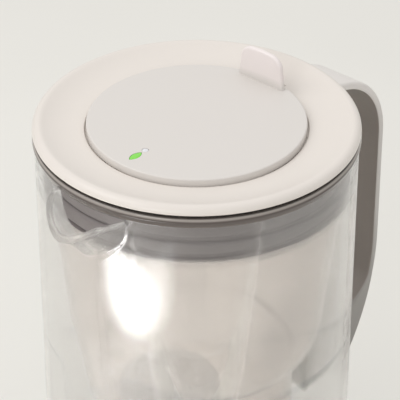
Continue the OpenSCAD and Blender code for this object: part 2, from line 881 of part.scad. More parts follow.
// Leaf outline of the lens, from two arcs of one radius
module leaf(len, w, grow) {
    r = (len * len / 4 + w * w / 4) / w;
    intersection() {
        translate([0, r - w / 2]) circle(r = r + grow);
        translate([0, w / 2 - r]) circle(r = r + grow);
        translate([-len / 2 - grow, -w]) square([len + 2 * grow, 2 * w]);
    }
}

lens_proud = 0.8;
window_gap = 0.9;
lens_z = flap_in_z - lens_proud;
lens_mid = -lens_x + lens_len / 2;
window_mid = -lens_x + lens_len + window_gap + window_len / 2;

module on_lens(x) {
    translate([x, 0, 0]) children();
}

// Four screws of the pod's cover, by their distance from its outer faces
screw_end = 9;
screw_near = 5;
screw_side = 3.2;
screw_r = 0.8;
screw_head_h = 0.8;
screw_head_r = 1.8;
screw_sunk = 0.1;
boss_r = 2.2;
arm_len = 3.5;

module screw_places() {
    for (x = [pod_x1 + screw_end, pod_x2 - screw_near], s = [-1, 1])
        translate([x, s * (pod_w / 2 - screw_side), 0]) children();
}

module flap() {
    color("linen")
        difference() {
            union() {
                flap_shell();
                plug_ring();
                pod_walls();
                thumb_tab();
                translate([hinge_x, knuckle_w / 2, hinge_z])
                    rotate([90, 0, 0]) cylinder(r = knuckle_r, h = knuckle_w, $fn = 64);
                translate([flap_r - arm_len, -knuckle_w / 2, hinge_z - knuckle_r])
                    cube([hinge_x - flap_r + arm_len, knuckle_w, 2 * knuckle_r]);
                translate([0, 0, cavity_low_z])
                    screw_places() cylinder(r = boss_r, h = flap_in_z - cavity_low_z + bite);
            }
            translate([hinge_x, knuckle_w, hinge_z])
                rotate([90, 0, 0]) cylinder(r = hinge_pin_r + hinge_fit, h = 2 * knuckle_w, $fn = pin_fn);
            translate([lens_mid, 0, flap_in_z - over])
                linear_extrude(flap_skin + 2 * over) leaf(lens_len, lens_w, lens_fit);
            translate([window_mid, 0, flap_in_z - over])
                cylinder(r = window_len / 2 + lens_fit, h = flap_skin + 2 * over, $fn = pin_fn);
            translate([0, 0, cavity_low_z - over])
                screw_places() cylinder(r = screw_r + screw_sunk, h = screw_len + over, $fn = screw_fn);
        }
}

module indicator_lens() {
    color("limegreen")
        translate([lens_mid, 0, lens_z])
            linear_extrude(flap_top_z - lens_z) leaf(lens_len, lens_w, 0);
}

module indicator_window() {
    color("white")
        translate([window_mid, 0, lens_z])
            cylinder(r = window_len / 2, h = flap_top_z - lens_z, $fn = pin_fn);
}

// Electronics in the pod, stacked down from the lens to the cover
led = [2.8, 2.4, 1.3];
led_in = 1.6;
led_room = 0.4;
board_z = lens_z - led[2] - led_room;
clip = [10, 5];
spring = [8, 4, 0.7];
cell_z = cavity_low_z + spring[2];
cell_step = 1.2;
cell_step_at = 0.75;
switch_w = 3.6;
switch_gap = 0.1;
seal_w = 0.9;
pod_seal_t = 0.5;
button_flange = 0.8;
button_proud = 0.2;
button_fit = 0.2;
button_side = 0.4;
cell_side = 0.5;
button_head_r = button_r + button_flange;
button_hole_r = button_r + button_fit;
button_x = pod_x1 + pod_wall + seal_w + button_head_r + button_side;
cell_x = button_x + button_head_r + cell_side + cell_d / 2;

module indicator_led() {
    color("palegreen")
        translate([pod_x1 + pod_wall + led_in, -led[1] / 2, board_z]) cube(led);
}

board_side = 0.4;
boss_fit = 0.3;

module circuit_board() {
    inset = pod_wall + board_side;
    color("seagreen")
        translate([0, 0, board_z - board_t])
            difference() {
                linear_extrude(board_t) pod_outline(inset);
                translate([0, 0, -over])
                    screw_places() cylinder(r = boss_r + boss_fit, h = board_t + 2 * over);
            }
}

module coin_cell() {
    color("silver")
        translate([cell_x, 0, cell_z]) {
            cylinder(r = cell_d / 2, h = cell_t * cell_step_at);
            cylinder(r = cell_d / 2 - cell_step, h = cell_t);
        }
}

module battery_clip() {
    z = cell_z + cell_t;
    color("goldenrod")
        translate([cell_x - clip[0] / 2, -clip[1] / 2, z])
            cube([clip[0], clip[1], board_z - board_t - z]);
}

module battery_spring() {
    color("goldenrod")
        translate([cell_x - spring[0] / 2, -spring[1] / 2, cavity_low_z])
            cube(spring);
}

// Cover, seal, screws and reset button on the pod's underside
cover_side = 0.2;
head_room = 0.4;
seal_side = 0.3;
seal_boss_fit = 0.2;

module pod_cover() {
    color("linen")
        translate([0, 0, pod_low_z])
            difference() {
                linear_extrude(pod_cover_t) pod_outline(pod_wall + cover_side);
                translate([button_x, 0, -over])
                    cylinder(r = button_hole_r, h = pod_cover_t + 2 * over, $fn = pin_fn);
                translate([0, 0, -over])
                    screw_places()
                        cylinder(r = screw_r + head_room, h = pod_cover_t + 2 * over, $fn = screw_fn);
            }
}

module pod_seal() {
    color("dimgray")
        translate([0, 0, pod_low_z + pod_cover_t])
            linear_extrude(pod_seal_t)
                difference() {
                    pod_outline(pod_wall + seal_side);
                    difference() {
                        pod_outline(pod_wall + seal_w);
                        screw_places() circle(r = boss_r + seal_w);
                    }
                    screw_places() circle(r = boss_r + seal_boss_fit, $fn = screw_fn);
                }
}

module pod_screws() {
    color("silver")
        translate([0, 0, pod_low_z])
            screw_places() {
                translate([0, 0, -screw_head_h]) cylinder(r = screw_head_r, h = screw_head_h, $fn = pin_fn);
                translate([0, 0, -screw_sunk]) cylinder(r = screw_r, h = screw_len, $fn = screw_fn);
            }
}

module reset_button() {
    reach = button_travel + button_proud;
    color("gray")
        translate([button_x, 0, 0]) {
            translate([0, 0, pod_low_z - reach])
                cylinder(r = button_r, h = cavity_low_z - pod_low_z + reach, $fn = pin_fn);
            translate([0, 0, cavity_low_z]) cylinder(r = button_head_r, h = button_flange, $fn = pin_fn);
        }
}

module tact_switch() {
    switch_low = cavity_low_z + button_flange + button_travel + switch_gap;
    color("black")
        translate([button_x - switch_w / 2, -switch_w / 2, switch_low])
            cube([switch_w, switch_w, board_z - board_t - switch_low]);
}

glass_jug();
handle_grip();
handle_top_pad();
handle_foot_pad();
funnel();
funnel_seal();
cartridge_cup();
cartridge_cap();
cartridge_top_mesh();
cartridge_bottom_mesh();
cartridge_seal();
filter_granules();
lid_ring();
lid_seal();
hinge_pin();
flap();
indicator_lens();
indicator_window();
indicator_led();
circuit_board();
tact_switch();
coin_cell();
battery_clip();
battery_spring();
pod_cover();
pod_seal();
pod_screws();
reset_button();
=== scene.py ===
# %% [markdown]
# # Water filter pitcher
#
# A glass jug with a pulled beak, a band handle bonded to the wall, a frosted funnel that hangs
# from the rim with its filter cartridge, and a dished lid whose round flap tips up by a thumb
# tab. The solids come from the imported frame. This script dresses them: smoother meshes where
# a curve is seen close up, and a node material on every piece. Lengths are in millimetres
# until a mesh is made.

# %% Load the frame
import math

import bmesh
import bpy
import numpy as np
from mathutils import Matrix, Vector


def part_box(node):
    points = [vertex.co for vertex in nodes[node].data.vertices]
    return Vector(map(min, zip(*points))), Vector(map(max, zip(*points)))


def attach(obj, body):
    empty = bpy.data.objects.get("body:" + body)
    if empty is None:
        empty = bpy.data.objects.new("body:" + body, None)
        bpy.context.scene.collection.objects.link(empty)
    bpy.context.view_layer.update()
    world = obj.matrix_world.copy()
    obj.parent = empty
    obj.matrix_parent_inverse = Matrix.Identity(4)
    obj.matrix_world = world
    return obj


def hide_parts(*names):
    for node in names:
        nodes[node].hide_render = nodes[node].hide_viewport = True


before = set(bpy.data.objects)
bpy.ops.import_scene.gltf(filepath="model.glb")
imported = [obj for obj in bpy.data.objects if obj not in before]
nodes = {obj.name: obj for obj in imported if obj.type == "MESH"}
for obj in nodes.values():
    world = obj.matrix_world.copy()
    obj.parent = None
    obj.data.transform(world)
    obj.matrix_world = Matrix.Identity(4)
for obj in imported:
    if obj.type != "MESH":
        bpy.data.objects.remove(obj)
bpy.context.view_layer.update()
MM = 0.001
scene = bpy.context.scene


# %% [markdown]
# ## Tools for meshes
#
# A turned part is a closed section swept round the jug's axis, as a glass blower's mould or a
# plastics mould makes it. A bar, plate or prism is a row of equal rings, joined by quads and
# closed at both ends. Corners are rounded in the section itself, because a moulded edge
# always has a small radius that catches the light.

# %% Section and mesh helpers
CORNER_SHARE = 0.49  # most that one rounded corner takes of a side


def rounded(points, steps=6):
    """A closed outline from (x, y, corner radius) triples, each corner an arc."""
    out = []
    n = len(points)
    for i in range(n):
        p = np.array(points[i][:2], float)
        r = points[i][2]
        a = np.array(points[i - 1][:2], float) - p
        b = np.array(points[(i + 1) % n][:2], float) - p
        la, lb = np.linalg.norm(a), np.linalg.norm(b)
        if r <= 0 or la == 0 or lb == 0:
            out.append(p)
            continue
        a, b = a / la, b / lb
        half = math.acos(max(-1.0, min(1.0, float(a @ b)))) / 2
        if half > math.radians(89):  # as good as straight
            out.append(p)
            continue
        d = min(r / math.tan(half), la * CORNER_SHARE, lb * CORNER_SHARE)
        r = d * math.tan(half)
        mid = (a + b) / np.linalg.norm(a + b)
        c = p + mid * (r / math.sin(half))
        s, e = p + a * d - c, p + b * d - c
        for t in np.linspace(0, 1, steps + 1):
            v = s * (1 - t) + e * t
            out.append(c + v / max(np.linalg.norm(v), 1e-9) * r)
    return np.array(out)


def refined(outline, longest):
    """The closed outline with its long sides cut into shorter ones."""
    out = []
    for a, b in zip(outline, np.roll(outline, -1, 0)):
        k = max(1, int(math.ceil(np.linalg.norm(b - a) / longest)))
        out += [a + (b - a) * j / k for j in range(k)]
    return np.array(out)


def circle(r, n=32):
    """Points of a circle round the origin."""
    return [(r * math.cos(a), r * math.sin(a)) for a in np.linspace(0, 2 * math.pi, n + 1)[:-1]]


def arc(centre, r, start, end, n):
    """Points of an arc, in degrees counter-clockwise from the first axis."""
    a = np.radians(np.linspace(start, end, n))
    return np.stack([centre[0] + r * np.cos(a), centre[1] + r * np.sin(a)], 1)


def lengths(line):
    """Distance along an open line at each of its points."""
    return np.concatenate([[0], np.cumsum(np.linalg.norm(np.diff(line, axis=0), axis=1))])


def points_at(where, d, line):
    """Points of a line at given distances."""
    return np.stack([np.interp(where, d, line[:, k]) for k in (0, 1)], 1)


def grid_faces(rows, cols, close_rows=True):
    """Quads of a rows by cols grid of points, counted row by row and closed across."""
    out = []
    for i in range(rows if close_rows else rows - 1):
        here, there = i * cols, (i + 1) % rows * cols
        for j in range(cols):
            k = (j + 1) % cols
            out.append((here + j, here + k, there + k, there + j))
    return out


def lofted(rings):
    """Points and faces of equal rings joined by quads, with both ends closed."""
    rings = np.asarray(rings, float)
    count, n = rings.shape[:2]
    last = (count - 1) * n
    ends = [tuple(range(n - 1, -1, -1)), tuple(range(last, last + n))]
    return rings.reshape(-1, 3), grid_faces(count, n, False) + ends


def block(lo, hi):
    """A box between two corners."""
    (x0, y0, z0), (x1, y1, z1) = lo, hi
    plan = [(x0, y0), (x1, y0), (x1, y1), (x0, y1)]
    ends = [(0, 3, 2, 1), (4, 5, 6, 7)]
    return [(x, y, z) for z in (z0, z1) for x, y in plan], ends + grid_faces(2, 4, False)


def rod(x, z, r, y0, y1, n=32):
    """A round bar along Y."""
    return lofted([[(x + a, y, z + b) for a, b in circle(r, n)] for y in (y0, y1)])


def prism(outline, z0, z1, x=0.0, y=0.0, dome=0.0):
    """An upright prism of a plan outline, its top edge softly rounded when dome is given."""
    o = np.array(outline)
    c = o.mean(0)
    top = [(z1 - dome, 1.0), (z1 - dome * 0.3, 0.94), (z1, 0.8)] if dome else [(z1, 1.0)]
    return lofted(
        [[(x + px, y + py, z) for px, py in c + (o - c) * s] for z, s in [(z0, 1.0)] + top]
    )


def turned(outline, n=192, centre=(0.0, 0.0)):
    """Points and faces of a closed section turned about a vertical axis; r may be zero."""
    verts, faces, first = [], [], []
    for r, z in outline:
        first.append(len(verts))
        ring = [(0.0, 0.0)] if r < 1e-6 else circle(r, n)
        verts += [(centre[0] + x, centre[1] + y, z) for x, y in ring]
    m = len(outline)
    for i in range(m):
        k = (i + 1) % m
        ra, rb = outline[i][0] < 1e-6, outline[k][0] < 1e-6
        for j in range(n):
            j2 = (j + 1) % n
            a = [first[i]] if ra else [first[i] + j, first[i] + j2]
            b = [first[k]] if rb else [first[k] + j2, first[k] + j]
            if len(a) + len(b) > 2:
                faces.append(tuple(a + b))
    return verts, faces


def joined(shapes):
    """Several (points, faces) pairs as one."""
    verts, faces = [], []
    for v, f in shapes:
        k = len(verts)
        verts += [tuple(p) for p in v]
        faces += [tuple(i + k for i in q) for q in f]
    return verts, faces


def mark_sharp(bm, angle):
    """Smooth faces, with edges that turn more than angle kept as edges."""
    for e in bm.edges:
        e.smooth = len(e.link_faces) != 2 or e.calc_face_angle(0.0) < math.radians(angle)
    for f in bm.faces:
        f.smooth = True


def placed(name, data):
    """An object in the scene."""
    ob = bpy.data.objects.new(name, data)
    scene.collection.objects.link(ob)
    return ob


def new_object(name, shape, sharp=180):
    """A mesh object in metres from points and faces in millimetres, normals outward."""
    verts, faces = shape
    me = bpy.data.meshes.new(name)
    me.from_pydata([tuple(v) for v in np.asarray(verts, float) * MM], [], [list(f) for f in faces])
    bm = bmesh.new()
    bm.from_mesh(me)
    bmesh.ops.remove_doubles(bm, verts=bm.verts, dist=1e-7)
    bmesh.ops.dissolve_degenerate(bm, edges=bm.edges, dist=1e-8)
    bmesh.ops.recalc_face_normals(bm, faces=bm.faces)
    if bm.calc_volume(signed=True) < 0:
        bmesh.ops.reverse_faces(bm, faces=bm.faces)
    mark_sharp(bm, sharp)
    bm.to_mesh(me)
    bm.free()
    me.update()
    return placed(name, me)


def boolean(target, name, shape, operation="DIFFERENCE"):
    """target cut by or joined to a (points, faces) pair."""
    tool = new_object(name, shape)
    mod = target.modifiers.new("cut", "BOOLEAN")
    mod.operation, mod.object, mod.solver = operation, tool, "EXACT"
    deps = bpy.context.evaluated_depsgraph_get()
    made = bpy.data.meshes.new_from_object(target.evaluated_get(deps))
    target.modifiers.clear()
    old = target.data
    target.data = made
    bpy.data.meshes.remove(old)
    bpy.data.objects.remove(tool)


def shade(ob, angle):
    """Marks a mesh's edges again after it was cut."""
    bm = bmesh.new()
    bm.from_mesh(ob.data)
    mark_sharp(bm, angle)
    bm.to_mesh(ob.data)
    bm.free()


def piece(ob, body, slot, replaces, *materials):
    """Puts a finished mesh on its body, for its CAD nodes; the slot is not used."""
    ob.data.materials.clear()
    for material in materials:
        ob.data.materials.append(material)
    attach(ob, body)
    if replaces:
        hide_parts(*replaces)
    ob.data.calc_loop_triangles()
    print(ob.name, len(ob.data.loop_triangles), "tris")


# %% [markdown]
# ## Materials
#
# Colours of the pieces in view were set until the render read as the photograph does. Moulded
# plastic gets a faint mottling, a fine grain and a slow change of gloss. The glass is clear with
# a trace of grey, and lets lamps and soft light through to what it holds. Some light and shade
# is painted in, for a room that this plain set lacks: painted shade and light in the tones that
# change with height on the handle and flap, painted reflections in the glass rim's bands,
# painted shade in the funnel's dark corner and on the handle's inside face, and a painted glint
# in the white window.

# %% Material tools
GRAIN = 900.0  # cells per metre of a moulded surface
GRAIN_DEPTH = 0.00002  # metres


def srgb(r, g, b):
    """A colour given from 0 to 255, in linear light."""
    def lin(c):
        c /= 255
        return c / 12.92 if c <= 0.04045 else ((c + 0.055) / 1.055) ** 2.4

    return (lin(r), lin(g), lin(b), 1.0)


def shift(colour, amount):
    """The colour made lighter by a share, or darker by a negative one."""
    return tuple(max(0.0, min(1.0, c * (1 + amount))) for c in colour[:3]) + (1.0,)


class Tree:
    """A short way to write a node tree. Inputs take a value or another node's output."""

    def __init__(self, owner, output):
        owner.use_nodes = True
        self.owner, self.tree = owner, owner.node_tree
        self.tree.nodes.clear()
        self.out = self.tree.nodes.new(output)

    def put(self, socket, value):
        if isinstance(value, bpy.types.NodeSocket):
            self.tree.links.new(value, socket)
        else:
            socket.default_value = value

    def add(self, kind, **values):
        """A node with settings and inputs by name, an underscore standing for a space."""
        n = self.tree.nodes.new("ShaderNode" + kind)
        for k, v in values.items():
            if hasattr(n, k):
                setattr(n, k, v)
            else:
                self.put(n.inputs[k.replace("_", " ")], v)
        return n

    def show(self, socket):
        self.put(self.out.inputs["Surface"], socket)

    def coords(self, scale=(1, 1, 1)):
        place = self.add("TexCoord").outputs["Object"]
        return self.add("Mapping", Scale=scale, Vector=place).outputs["Vector"]

    def split(self, vector):
        return self.add("SeparateXYZ", Vector=vector).outputs

    def noise(self, v, scale, detail=3.0, rough=0.55):
        n = self.add("TexNoise", Scale=scale, Detail=detail, Roughness=rough, Vector=v)
        return n.outputs["Fac"]

    def ramp(self, fac, stops):
        n = self.add("ValToRGB", Fac=fac)
        e = n.color_ramp.elements
        while len(e) < len(stops):
            e.new(0.5)
        for el, (pos, col) in zip(e, stops):
            el.position, el.color = pos, col
        return n.outputs["Color"]

    def mottled(self, fac, colour, down, up):
        return self.ramp(fac, [(0.3, shift(colour, -down)), (0.7, shift(colour, up))])

    def fed(self, n, values, sockets=(0, 1, 2)):
        for k, value in zip(sockets, values):
            self.put(n.inputs[k], value)
        return n.outputs

    def maths(self, op, a, b=0.0):
        return self.fed(self.add("Math", operation=op), (a, b))[0]

    def span(self, value, lo, hi, start=0.0, end=1.0, **more):
        """A value that runs from start to end, put on the range from lo to hi."""
        ends = {"From_Min": start, "From_Max": end, "To_Min": lo, "To_Max": hi}
        return self.add("MapRange", Value=value, **ends, **more).outputs["Result"]

    def height(self, v, lo, hi, scale, detail, wander):
        """0 to 1 between two heights, with a level that wanders a little."""
        drift = self.span(self.noise(v, scale, detail), -wander, wander)
        return self.span(self.maths("ADD", self.split(v)[2], drift), 0.0, 1.0, lo, hi)

    def bump(self, height, strength, distance):
        n = self.add("Bump", Strength=strength, Distance=distance, Height=height)
        return n.outputs["Normal"]

    def blend(self, share, a, b):
        """Two colours mixed."""
        return self.fed(self.add("Mix", data_type="RGBA"), (share, a, b), (0, 6, 7))[2]

    def mixed(self, share, a, b):
        """Two shaders mixed."""
        return self.fed(self.add("MixShader"), (share, a, b))[0]

    def shader(self, **values):
        skin = self.add("BsdfPrincipled", **values).outputs[0]
        self.show(skin)
        return skin


def material(name):
    return Tree(bpy.data.materials.new(name), "ShaderNodeOutputMaterial")


def plastic(name, colour, rough=0.35, mottle=0.03, grain=GRAIN, depth=GRAIN_DEPTH, **extra):
    """Moulded plastic: slow colour drift, fine grain, gloss that changes a little. With a list
    of (height in metres, colour) for its colour, the tone changes with height."""
    t = material(name)
    v = t.coords()
    if isinstance(colour, list):
        lo, hi = colour[0][0], colour[-1][0]
        level = t.height(v, lo, hi, 30.0, 3.0, 0.002)
        tone = t.ramp(level, [((z - lo) / (hi - lo), c) for z, c in colour])
    else:
        tone = t.mottled(t.noise(v, 26.0, 4.0), colour, mottle, mottle * 0.6)
    t.shader(
        Base_Color=tone,
        Roughness=t.span(t.noise(v, 60.0), rough - 0.05, rough + 0.06),
        Normal=t.bump(t.noise(v, grain, 2.0), 0.25, depth),
        **extra,
    )
    return t.owner


def lets_light_through(t, skin, tint, share=None):
    """Clear to lamps and to soft bounced light, so that what the wall holds is lit. With a
    share given, clear to lamps only, and by that share."""
    path = t.add("LightPath").outputs
    if share is None:
        passed = t.maths("MAXIMUM", path["Is Shadow Ray"], path["Is Diffuse Ray"])
    else:
        passed = t.maths("MULTIPLY", path["Is Shadow Ray"], share)
    t.show(t.mixed(passed, skin, t.add("BsdfTransparent", Color=tint).outputs[0]))


def glass(name):
    """Clear glass with a slow wave, mixed with plain clearness so that it stays bright."""
    t = material(name)
    skin = t.shader(
        Base_Color=(0.975, 0.982, 0.978, 1),
        Roughness=t.span(t.noise(t.coords(), 120.0, 3.0), 0.0, 0.02),
        Normal=t.bump(t.noise(t.coords((1, 1, 0.35)), 14.0, 2.0, 0.4), 0.08, 0.0006),
        Transmission_Weight=1.0,
        IOR=1.5,
    )
    plain = t.add("BsdfTransparent").outputs[0]
    lets_light_through(t, t.mixed(0.42, skin, plain), (0.95, 0.955, 0.95, 1))
    return t.owner


# painted reflections: the rim's dark line, light line and brown band are colours by height,
# standing for surroundings that clear glass would show
RIM_LOW, RIM_HIGH = 0.2516, 0.2566  # heights of the rim's bands, in metres
RIM_PAINTED_BANDS = [
    (0.0, srgb(118, 108, 102)), (0.2, srgb(84, 74, 69)), (0.62, srgb(78, 68, 64)),
    (0.74, srgb(150, 142, 136)), (0.84, srgb(160, 152, 146)), (0.92, srgb(52, 45, 42)),
    (1.0, srgb(40, 34, 32)),
]


def rim_glass(name):
    """The thick fire-polished bead, with painted reflections: dark and light bands by height in
    place of the surroundings that clear glass bends into view.
    """
    t = material(name)
    v = t.coords()
    skin = t.shader(
        Base_Color=t.ramp(t.height(v, RIM_LOW, RIM_HIGH, 22.0, 1.0, 0.00015), RIM_PAINTED_BANDS),
        Roughness=t.span(t.noise(v, 200.0), 0.08, 0.14),
        IOR=1.5,
        Coat_Weight=0.4,
        Coat_Roughness=0.06,
    )
    lets_light_through(t, skin, (0.8, 0.8, 0.8, 1))
    return t.owner


def painted_corner_shade(t, v, colour, top):
    """Painted shade: the colour darkened where the skin curves under, below a height, and by what
    share.
    """
    lean = t.split(t.add("TexCoord").outputs["Normal"])[2]
    share = 0.9
    for value, start, end in ((lean, -0.3, -0.6), (t.split(v)[2], top, top - 0.003)):
        edge = t.span(value, 0.0, 1.0, start, end, interpolation_type="SMOOTHSTEP")
        share = t.maths("MULTIPLY", edge, share)
    return t.blend(share, colour, srgb(92, 84, 82)), share


def frosted(name, colour, clear=0.35, rough=0.38, corner=None):
    """Translucent polypropylene: milky, with what is behind it as a soft shape. With a corner
    height, painted shade darkens it where it curves under.
    """
    t = material(name)
    v = t.coords()
    tone, passes = t.mottled(t.noise(v, 18.0, 4.0), colour, 0.02, 0.015), clear
    if corner:
        tone, share = painted_corner_shade(t, v, tone, corner)
        passes = t.span(share, clear, 0.1)
    skin = t.shader(
        Base_Color=tone,
        Roughness=t.span(t.noise(v, 70.0), rough - 0.04, rough + 0.05),
        Normal=t.bump(t.noise(v, 1200.0, 2.0), 0.2, GRAIN_DEPTH),
        Transmission_Weight=passes,
        IOR=1.45,
    )
    lets_light_through(t, skin, (0.9, 0.89, 0.88, 1), clear)
    return t.owner


def rubber(name, colour, rough=0.5):
    return plastic(name, colour, rough, 0.05, 1500.0, 0.00003)


def metal(name, colour, rough, scale):
    """Drawn or plated metal with fine lines along one way."""
    t = material(name)
    lines = t.noise(t.coords(scale), GRAIN, 2.0)
    t.shader(
        Base_Color=t.mottled(lines, colour, 0.1, 0.05),
        Roughness=t.span(lines, rough - 0.06, rough + 0.1),
        Normal=t.bump(lines, 0.2, 0.00001),
        Metallic=1.0,
    )
    return t.owner


def granules(name):
    """Dark grains of carbon with some pale beads of resin between them."""
    t = material(name)
    cells = t.add("TexVoronoi", feature="F1", Scale=620.0, Vector=t.coords()).outputs
    tones = [(0.25, srgb(34, 33, 32)), (0.6, srgb(70, 68, 66)), (0.95, srgb(214, 208, 196))]
    t.shader(
        Base_Color=t.ramp(cells["Color"], tones),
        Normal=t.bump(t.maths("SUBTRACT", 1.0, cells["Distance"]), 0.8, 0.0004),
        Roughness=0.7,
    )
    return t.owner


def mesh_cloth(name):
    """Fine woven mesh: threads both ways with dark holes between them."""
    t = material(name)
    place = t.split(t.coords((1300, 1300, 1300)))
    weave = t.maths("MINIMUM", *(t.maths("ABSOLUTE", t.maths("SINE", place[k])) for k in (0, 1)))
    t.shader(
        Base_Color=t.ramp(weave, [(0.1, srgb(176, 178, 180)), (0.4, srgb(60, 62, 64))]),
        Normal=t.bump(t.maths("SUBTRACT", 1.0, weave), 0.6, 0.0002),
        Roughness=0.6,
    )
    return t.owner


def tinted(name, colour, rough, clear):
    """Moulded clear plastic with a tint."""
    t = material(name)
    v = t.coords()
    t.shader(
        Base_Color=t.mottled(t.noise(v, 300.0), colour, 0.06, 0.05),
        Roughness=t.span(t.noise(v, GRAIN), rough, rough + 0.08),
        Transmission_Weight=clear,
        IOR=1.49,
    )
    return t.owner


def lacquer(name):
    """Green board lacquer with paler tracks."""
    t = material(name)
    tracks = t.add(
        "TexBrick", Scale=260.0, Mortar_Size=0.06, Color1=srgb(22, 92, 50),
        Color2=srgb(26, 104, 58), Mortar=srgb(58, 140, 86), Vector=t.coords(),
    ).outputs
    t.shader(
        Base_Color=tracks["Color"], Normal=t.bump(tracks["Fac"], 0.3, 0.00004), Roughness=0.3
    )
    return t.owner


# %% The finishes
FLAP, TAB_PAINTED_LIGHT = srgb(217, 212, 207), srgb(236, 228, 225)
HANDLE = srgb(226, 221, 217)
m_glass = glass("clear_glass")
m_rim = rim_glass("rim_glass")
m_lid = plastic(
    "lid_satin", srgb(226, 219, 212), 0.32, 0.012, Coat_Weight=0.15, Coat_Roughness=0.25
)
coat = {"Coat_Weight": 0.1, "Coat_Roughness": 0.3}
# painted light: the tab and the top of its curve are lighter than the disc, as lit from the front
tones = [(0.244, FLAP), (0.2612, FLAP), (0.2645, TAB_PAINTED_LIGHT), (0.276, srgb(238, 229, 227))]
m_flap = plastic("flap_satin", tones, 0.34, **coat)
# painted shade and light: the handle darkens from its top towards the foot and is lightest at the
# top, as light falls on it
tones = [
    (0.08, srgb(134, 130, 126)), (0.115, srgb(150, 146, 142)), (0.16, srgb(192, 188, 184)),
    (0.21, srgb(208, 203, 199)), (0.235, HANDLE), (0.256, shift(HANDLE, 0.04)),
]
m_handle = plastic("handle_satin", tones, 0.36, **coat)
# painted shade: the handle's inside face, which faces the glass, is the same plastic in a darker
# colour
m_handle_inside_shade = plastic("handle_inside_painted_shade", srgb(136, 128, 122), 0.55, 0.03, 1400.0, 0.00004)
m_pad = rubber("bond_pad_grey", srgb(128, 125, 119), 0.6)
# the last number is the height below which the funnel gets painted shade where its bowl curves
# under
m_funnel = frosted("funnel_frosted", srgb(249, 243, 239), 0.8, 0.085, 0.152)
m_seal = rubber("seal_silicone", srgb(122, 115, 114), 0.42)
m_cart = plastic("cartridge_grey", srgb(138, 137, 140), 0.34, 0.03)
m_cup = frosted("cartridge_cup_milky", srgb(205, 206, 208), 0.25, 0.4)
m_granules = granules("granules_dark")
m_mesh = mesh_cloth("mesh_cloth")
m_green = tinted("lens_green", srgb(142, 232, 92), 0.2, 0.1)
# painted glint: the window is near white and almost opaque, in place of the highlight on its clear
# face
m_window_glint = tinted("window_white_painted_glint", srgb(240, 240, 244), 0.12, 0.12)
m_led = tinted("led_clear", srgb(246, 248, 226), 0.2, 0.3)
m_board = lacquer("board_green")
m_black = plastic("switch_black", srgb(38, 38, 40), 0.45, 0.05)
m_steel = metal("steel_turned", srgb(200, 200, 204), 0.26, (1, 1, 8))
m_brass = metal("brass_plated", srgb(214, 186, 120), 0.3, (1, 6, 1))
m_button = rubber("button_rubber", srgb(112, 112, 114), 0.6)
print("materials", len(bpy.data.materials))

# %% [markdown]
# ## Glass jug
#
# The real jug is blown into a mould and the beak is pulled while the glass is soft, so the
# wall flows into the beak without an edge and its lip is fire-polished round. It is made here
# as one closed skin: columns round the axis, each running up the outside, over the lip and
# down the inside. In the beak's sector the columns lean out to the lip, and the ring above
# the beak's mouth closes over them.

# %% Sizes of the jug, and the plan of its beak
R, RI = 69.8, 66.8  # outside and inside of the wall
H, FLOOR = 256.4, 6.0  # top of the rim, and of the floor
CORNER = 9.0  # round between floor and wall
ZW = 248.7  # where the wall hands over to the bead
RING_LOW = 251.4  # lower edge of the bead over the mouth
FOOT_Z = 225.6  # foot of the beak
LEAD = 5.0  # how far below its foot the beak's columns begin
SECTOR = 42.0  # half of the beak's sector, in degrees
SPOUT_W, POWER = 41.0, 1.6  # width of the beak, and how pointed it is in plan
REACH = -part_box("glass_jug")[0][0] * 1000 - 0.05
LIP_START = 75.2  # distance from the axis where the lip starts to fall
LIP_SAG, LIP_FALL = 0.35, 7.2
FINE = 1200  # steps of the plan before it is thinned out
SOFT, SOFT_REACH = 1.5, 6.0  # how far the plan's corners are smoothed
NB, NR = 121, 150  # columns in the beak's sector and in the rest
cols = NB + NR


def smooth(t):
    t = np.clip(t, 0, 1)
    return t * t * (3 - 2 * t)


def beak_outline(r_wall, reach, width):
    """The plan of the lip with the wall beside it, evenly spaced, from +y to -y."""
    half = width / 2
    edge = math.degrees(math.asin(half / r_wall))
    root = math.sqrt(r_wall**2 - half**2)
    a = np.radians(np.linspace(SECTOR, edge, 160))
    wall = np.stack([-r_wall * np.cos(a), r_wall * np.sin(a)], 1)
    s = np.sin(np.linspace(math.pi / 2, -math.pi / 2, 600))
    nose = -root - (reach - root) * (1 - np.abs(s) ** POWER) ** (1 / POWER)
    line = np.concatenate([wall[:-1], np.stack([nose, s * half], 1), wall[::-1][1:] * [1, -1]])
    d = lengths(line)
    even = np.linspace(0, d[-1], FINE + 1)
    pts = points_at(even, d, line)
    w = int(round(SOFT_REACH / even[1]))
    g = np.exp(-0.5 * ((np.arange(-w, w + 1) * even[1]) / SOFT) ** 2)
    g /= g.sum()
    pad = np.concatenate([2 * pts[0] - pts[w:0:-1], pts, 2 * pts[-1] - pts[-2 : -w - 2 : -1]])
    soft = np.stack([np.convolve(pad[:, k], g, "valid") for k in (0, 1)], 1)
    return points_at(np.linspace(0, FINE, NB), np.arange(FINE + 1), soft)


def lip_height(x):
    """Height of the lip over the base, by its distance from the axis."""
    out = np.clip((-x - LIP_START) / (REACH - LIP_START), 0, 1.05)
    near = np.clip((-x - R) / (LIP_START - R), 0, 1)
    return ZW - LIP_SAG * smooth(near) - LIP_FALL * out**1.15


outer_lip = beak_outline(R, REACH + 0.2, SPOUT_W)
inner_lip = beak_outline(RI, REACH - 2.5, SPOUT_W - 5.4)
bulge = np.hypot(outer_lip[:, 0], outer_lip[:, 1]) - R
inside = np.where(bulge > 0.35)[0]
j0, j1 = inside[0] - 1, inside[-1] + 1
ang_out = np.degrees(np.arctan2(outer_lip[:, 1], -outer_lip[:, 0]))
rest = np.linspace(-ang_out[0], -(360 - ang_out[0]), NR + 2)[1:-1]
print("beak columns", NB, "mouth from", j0, "to", j1)


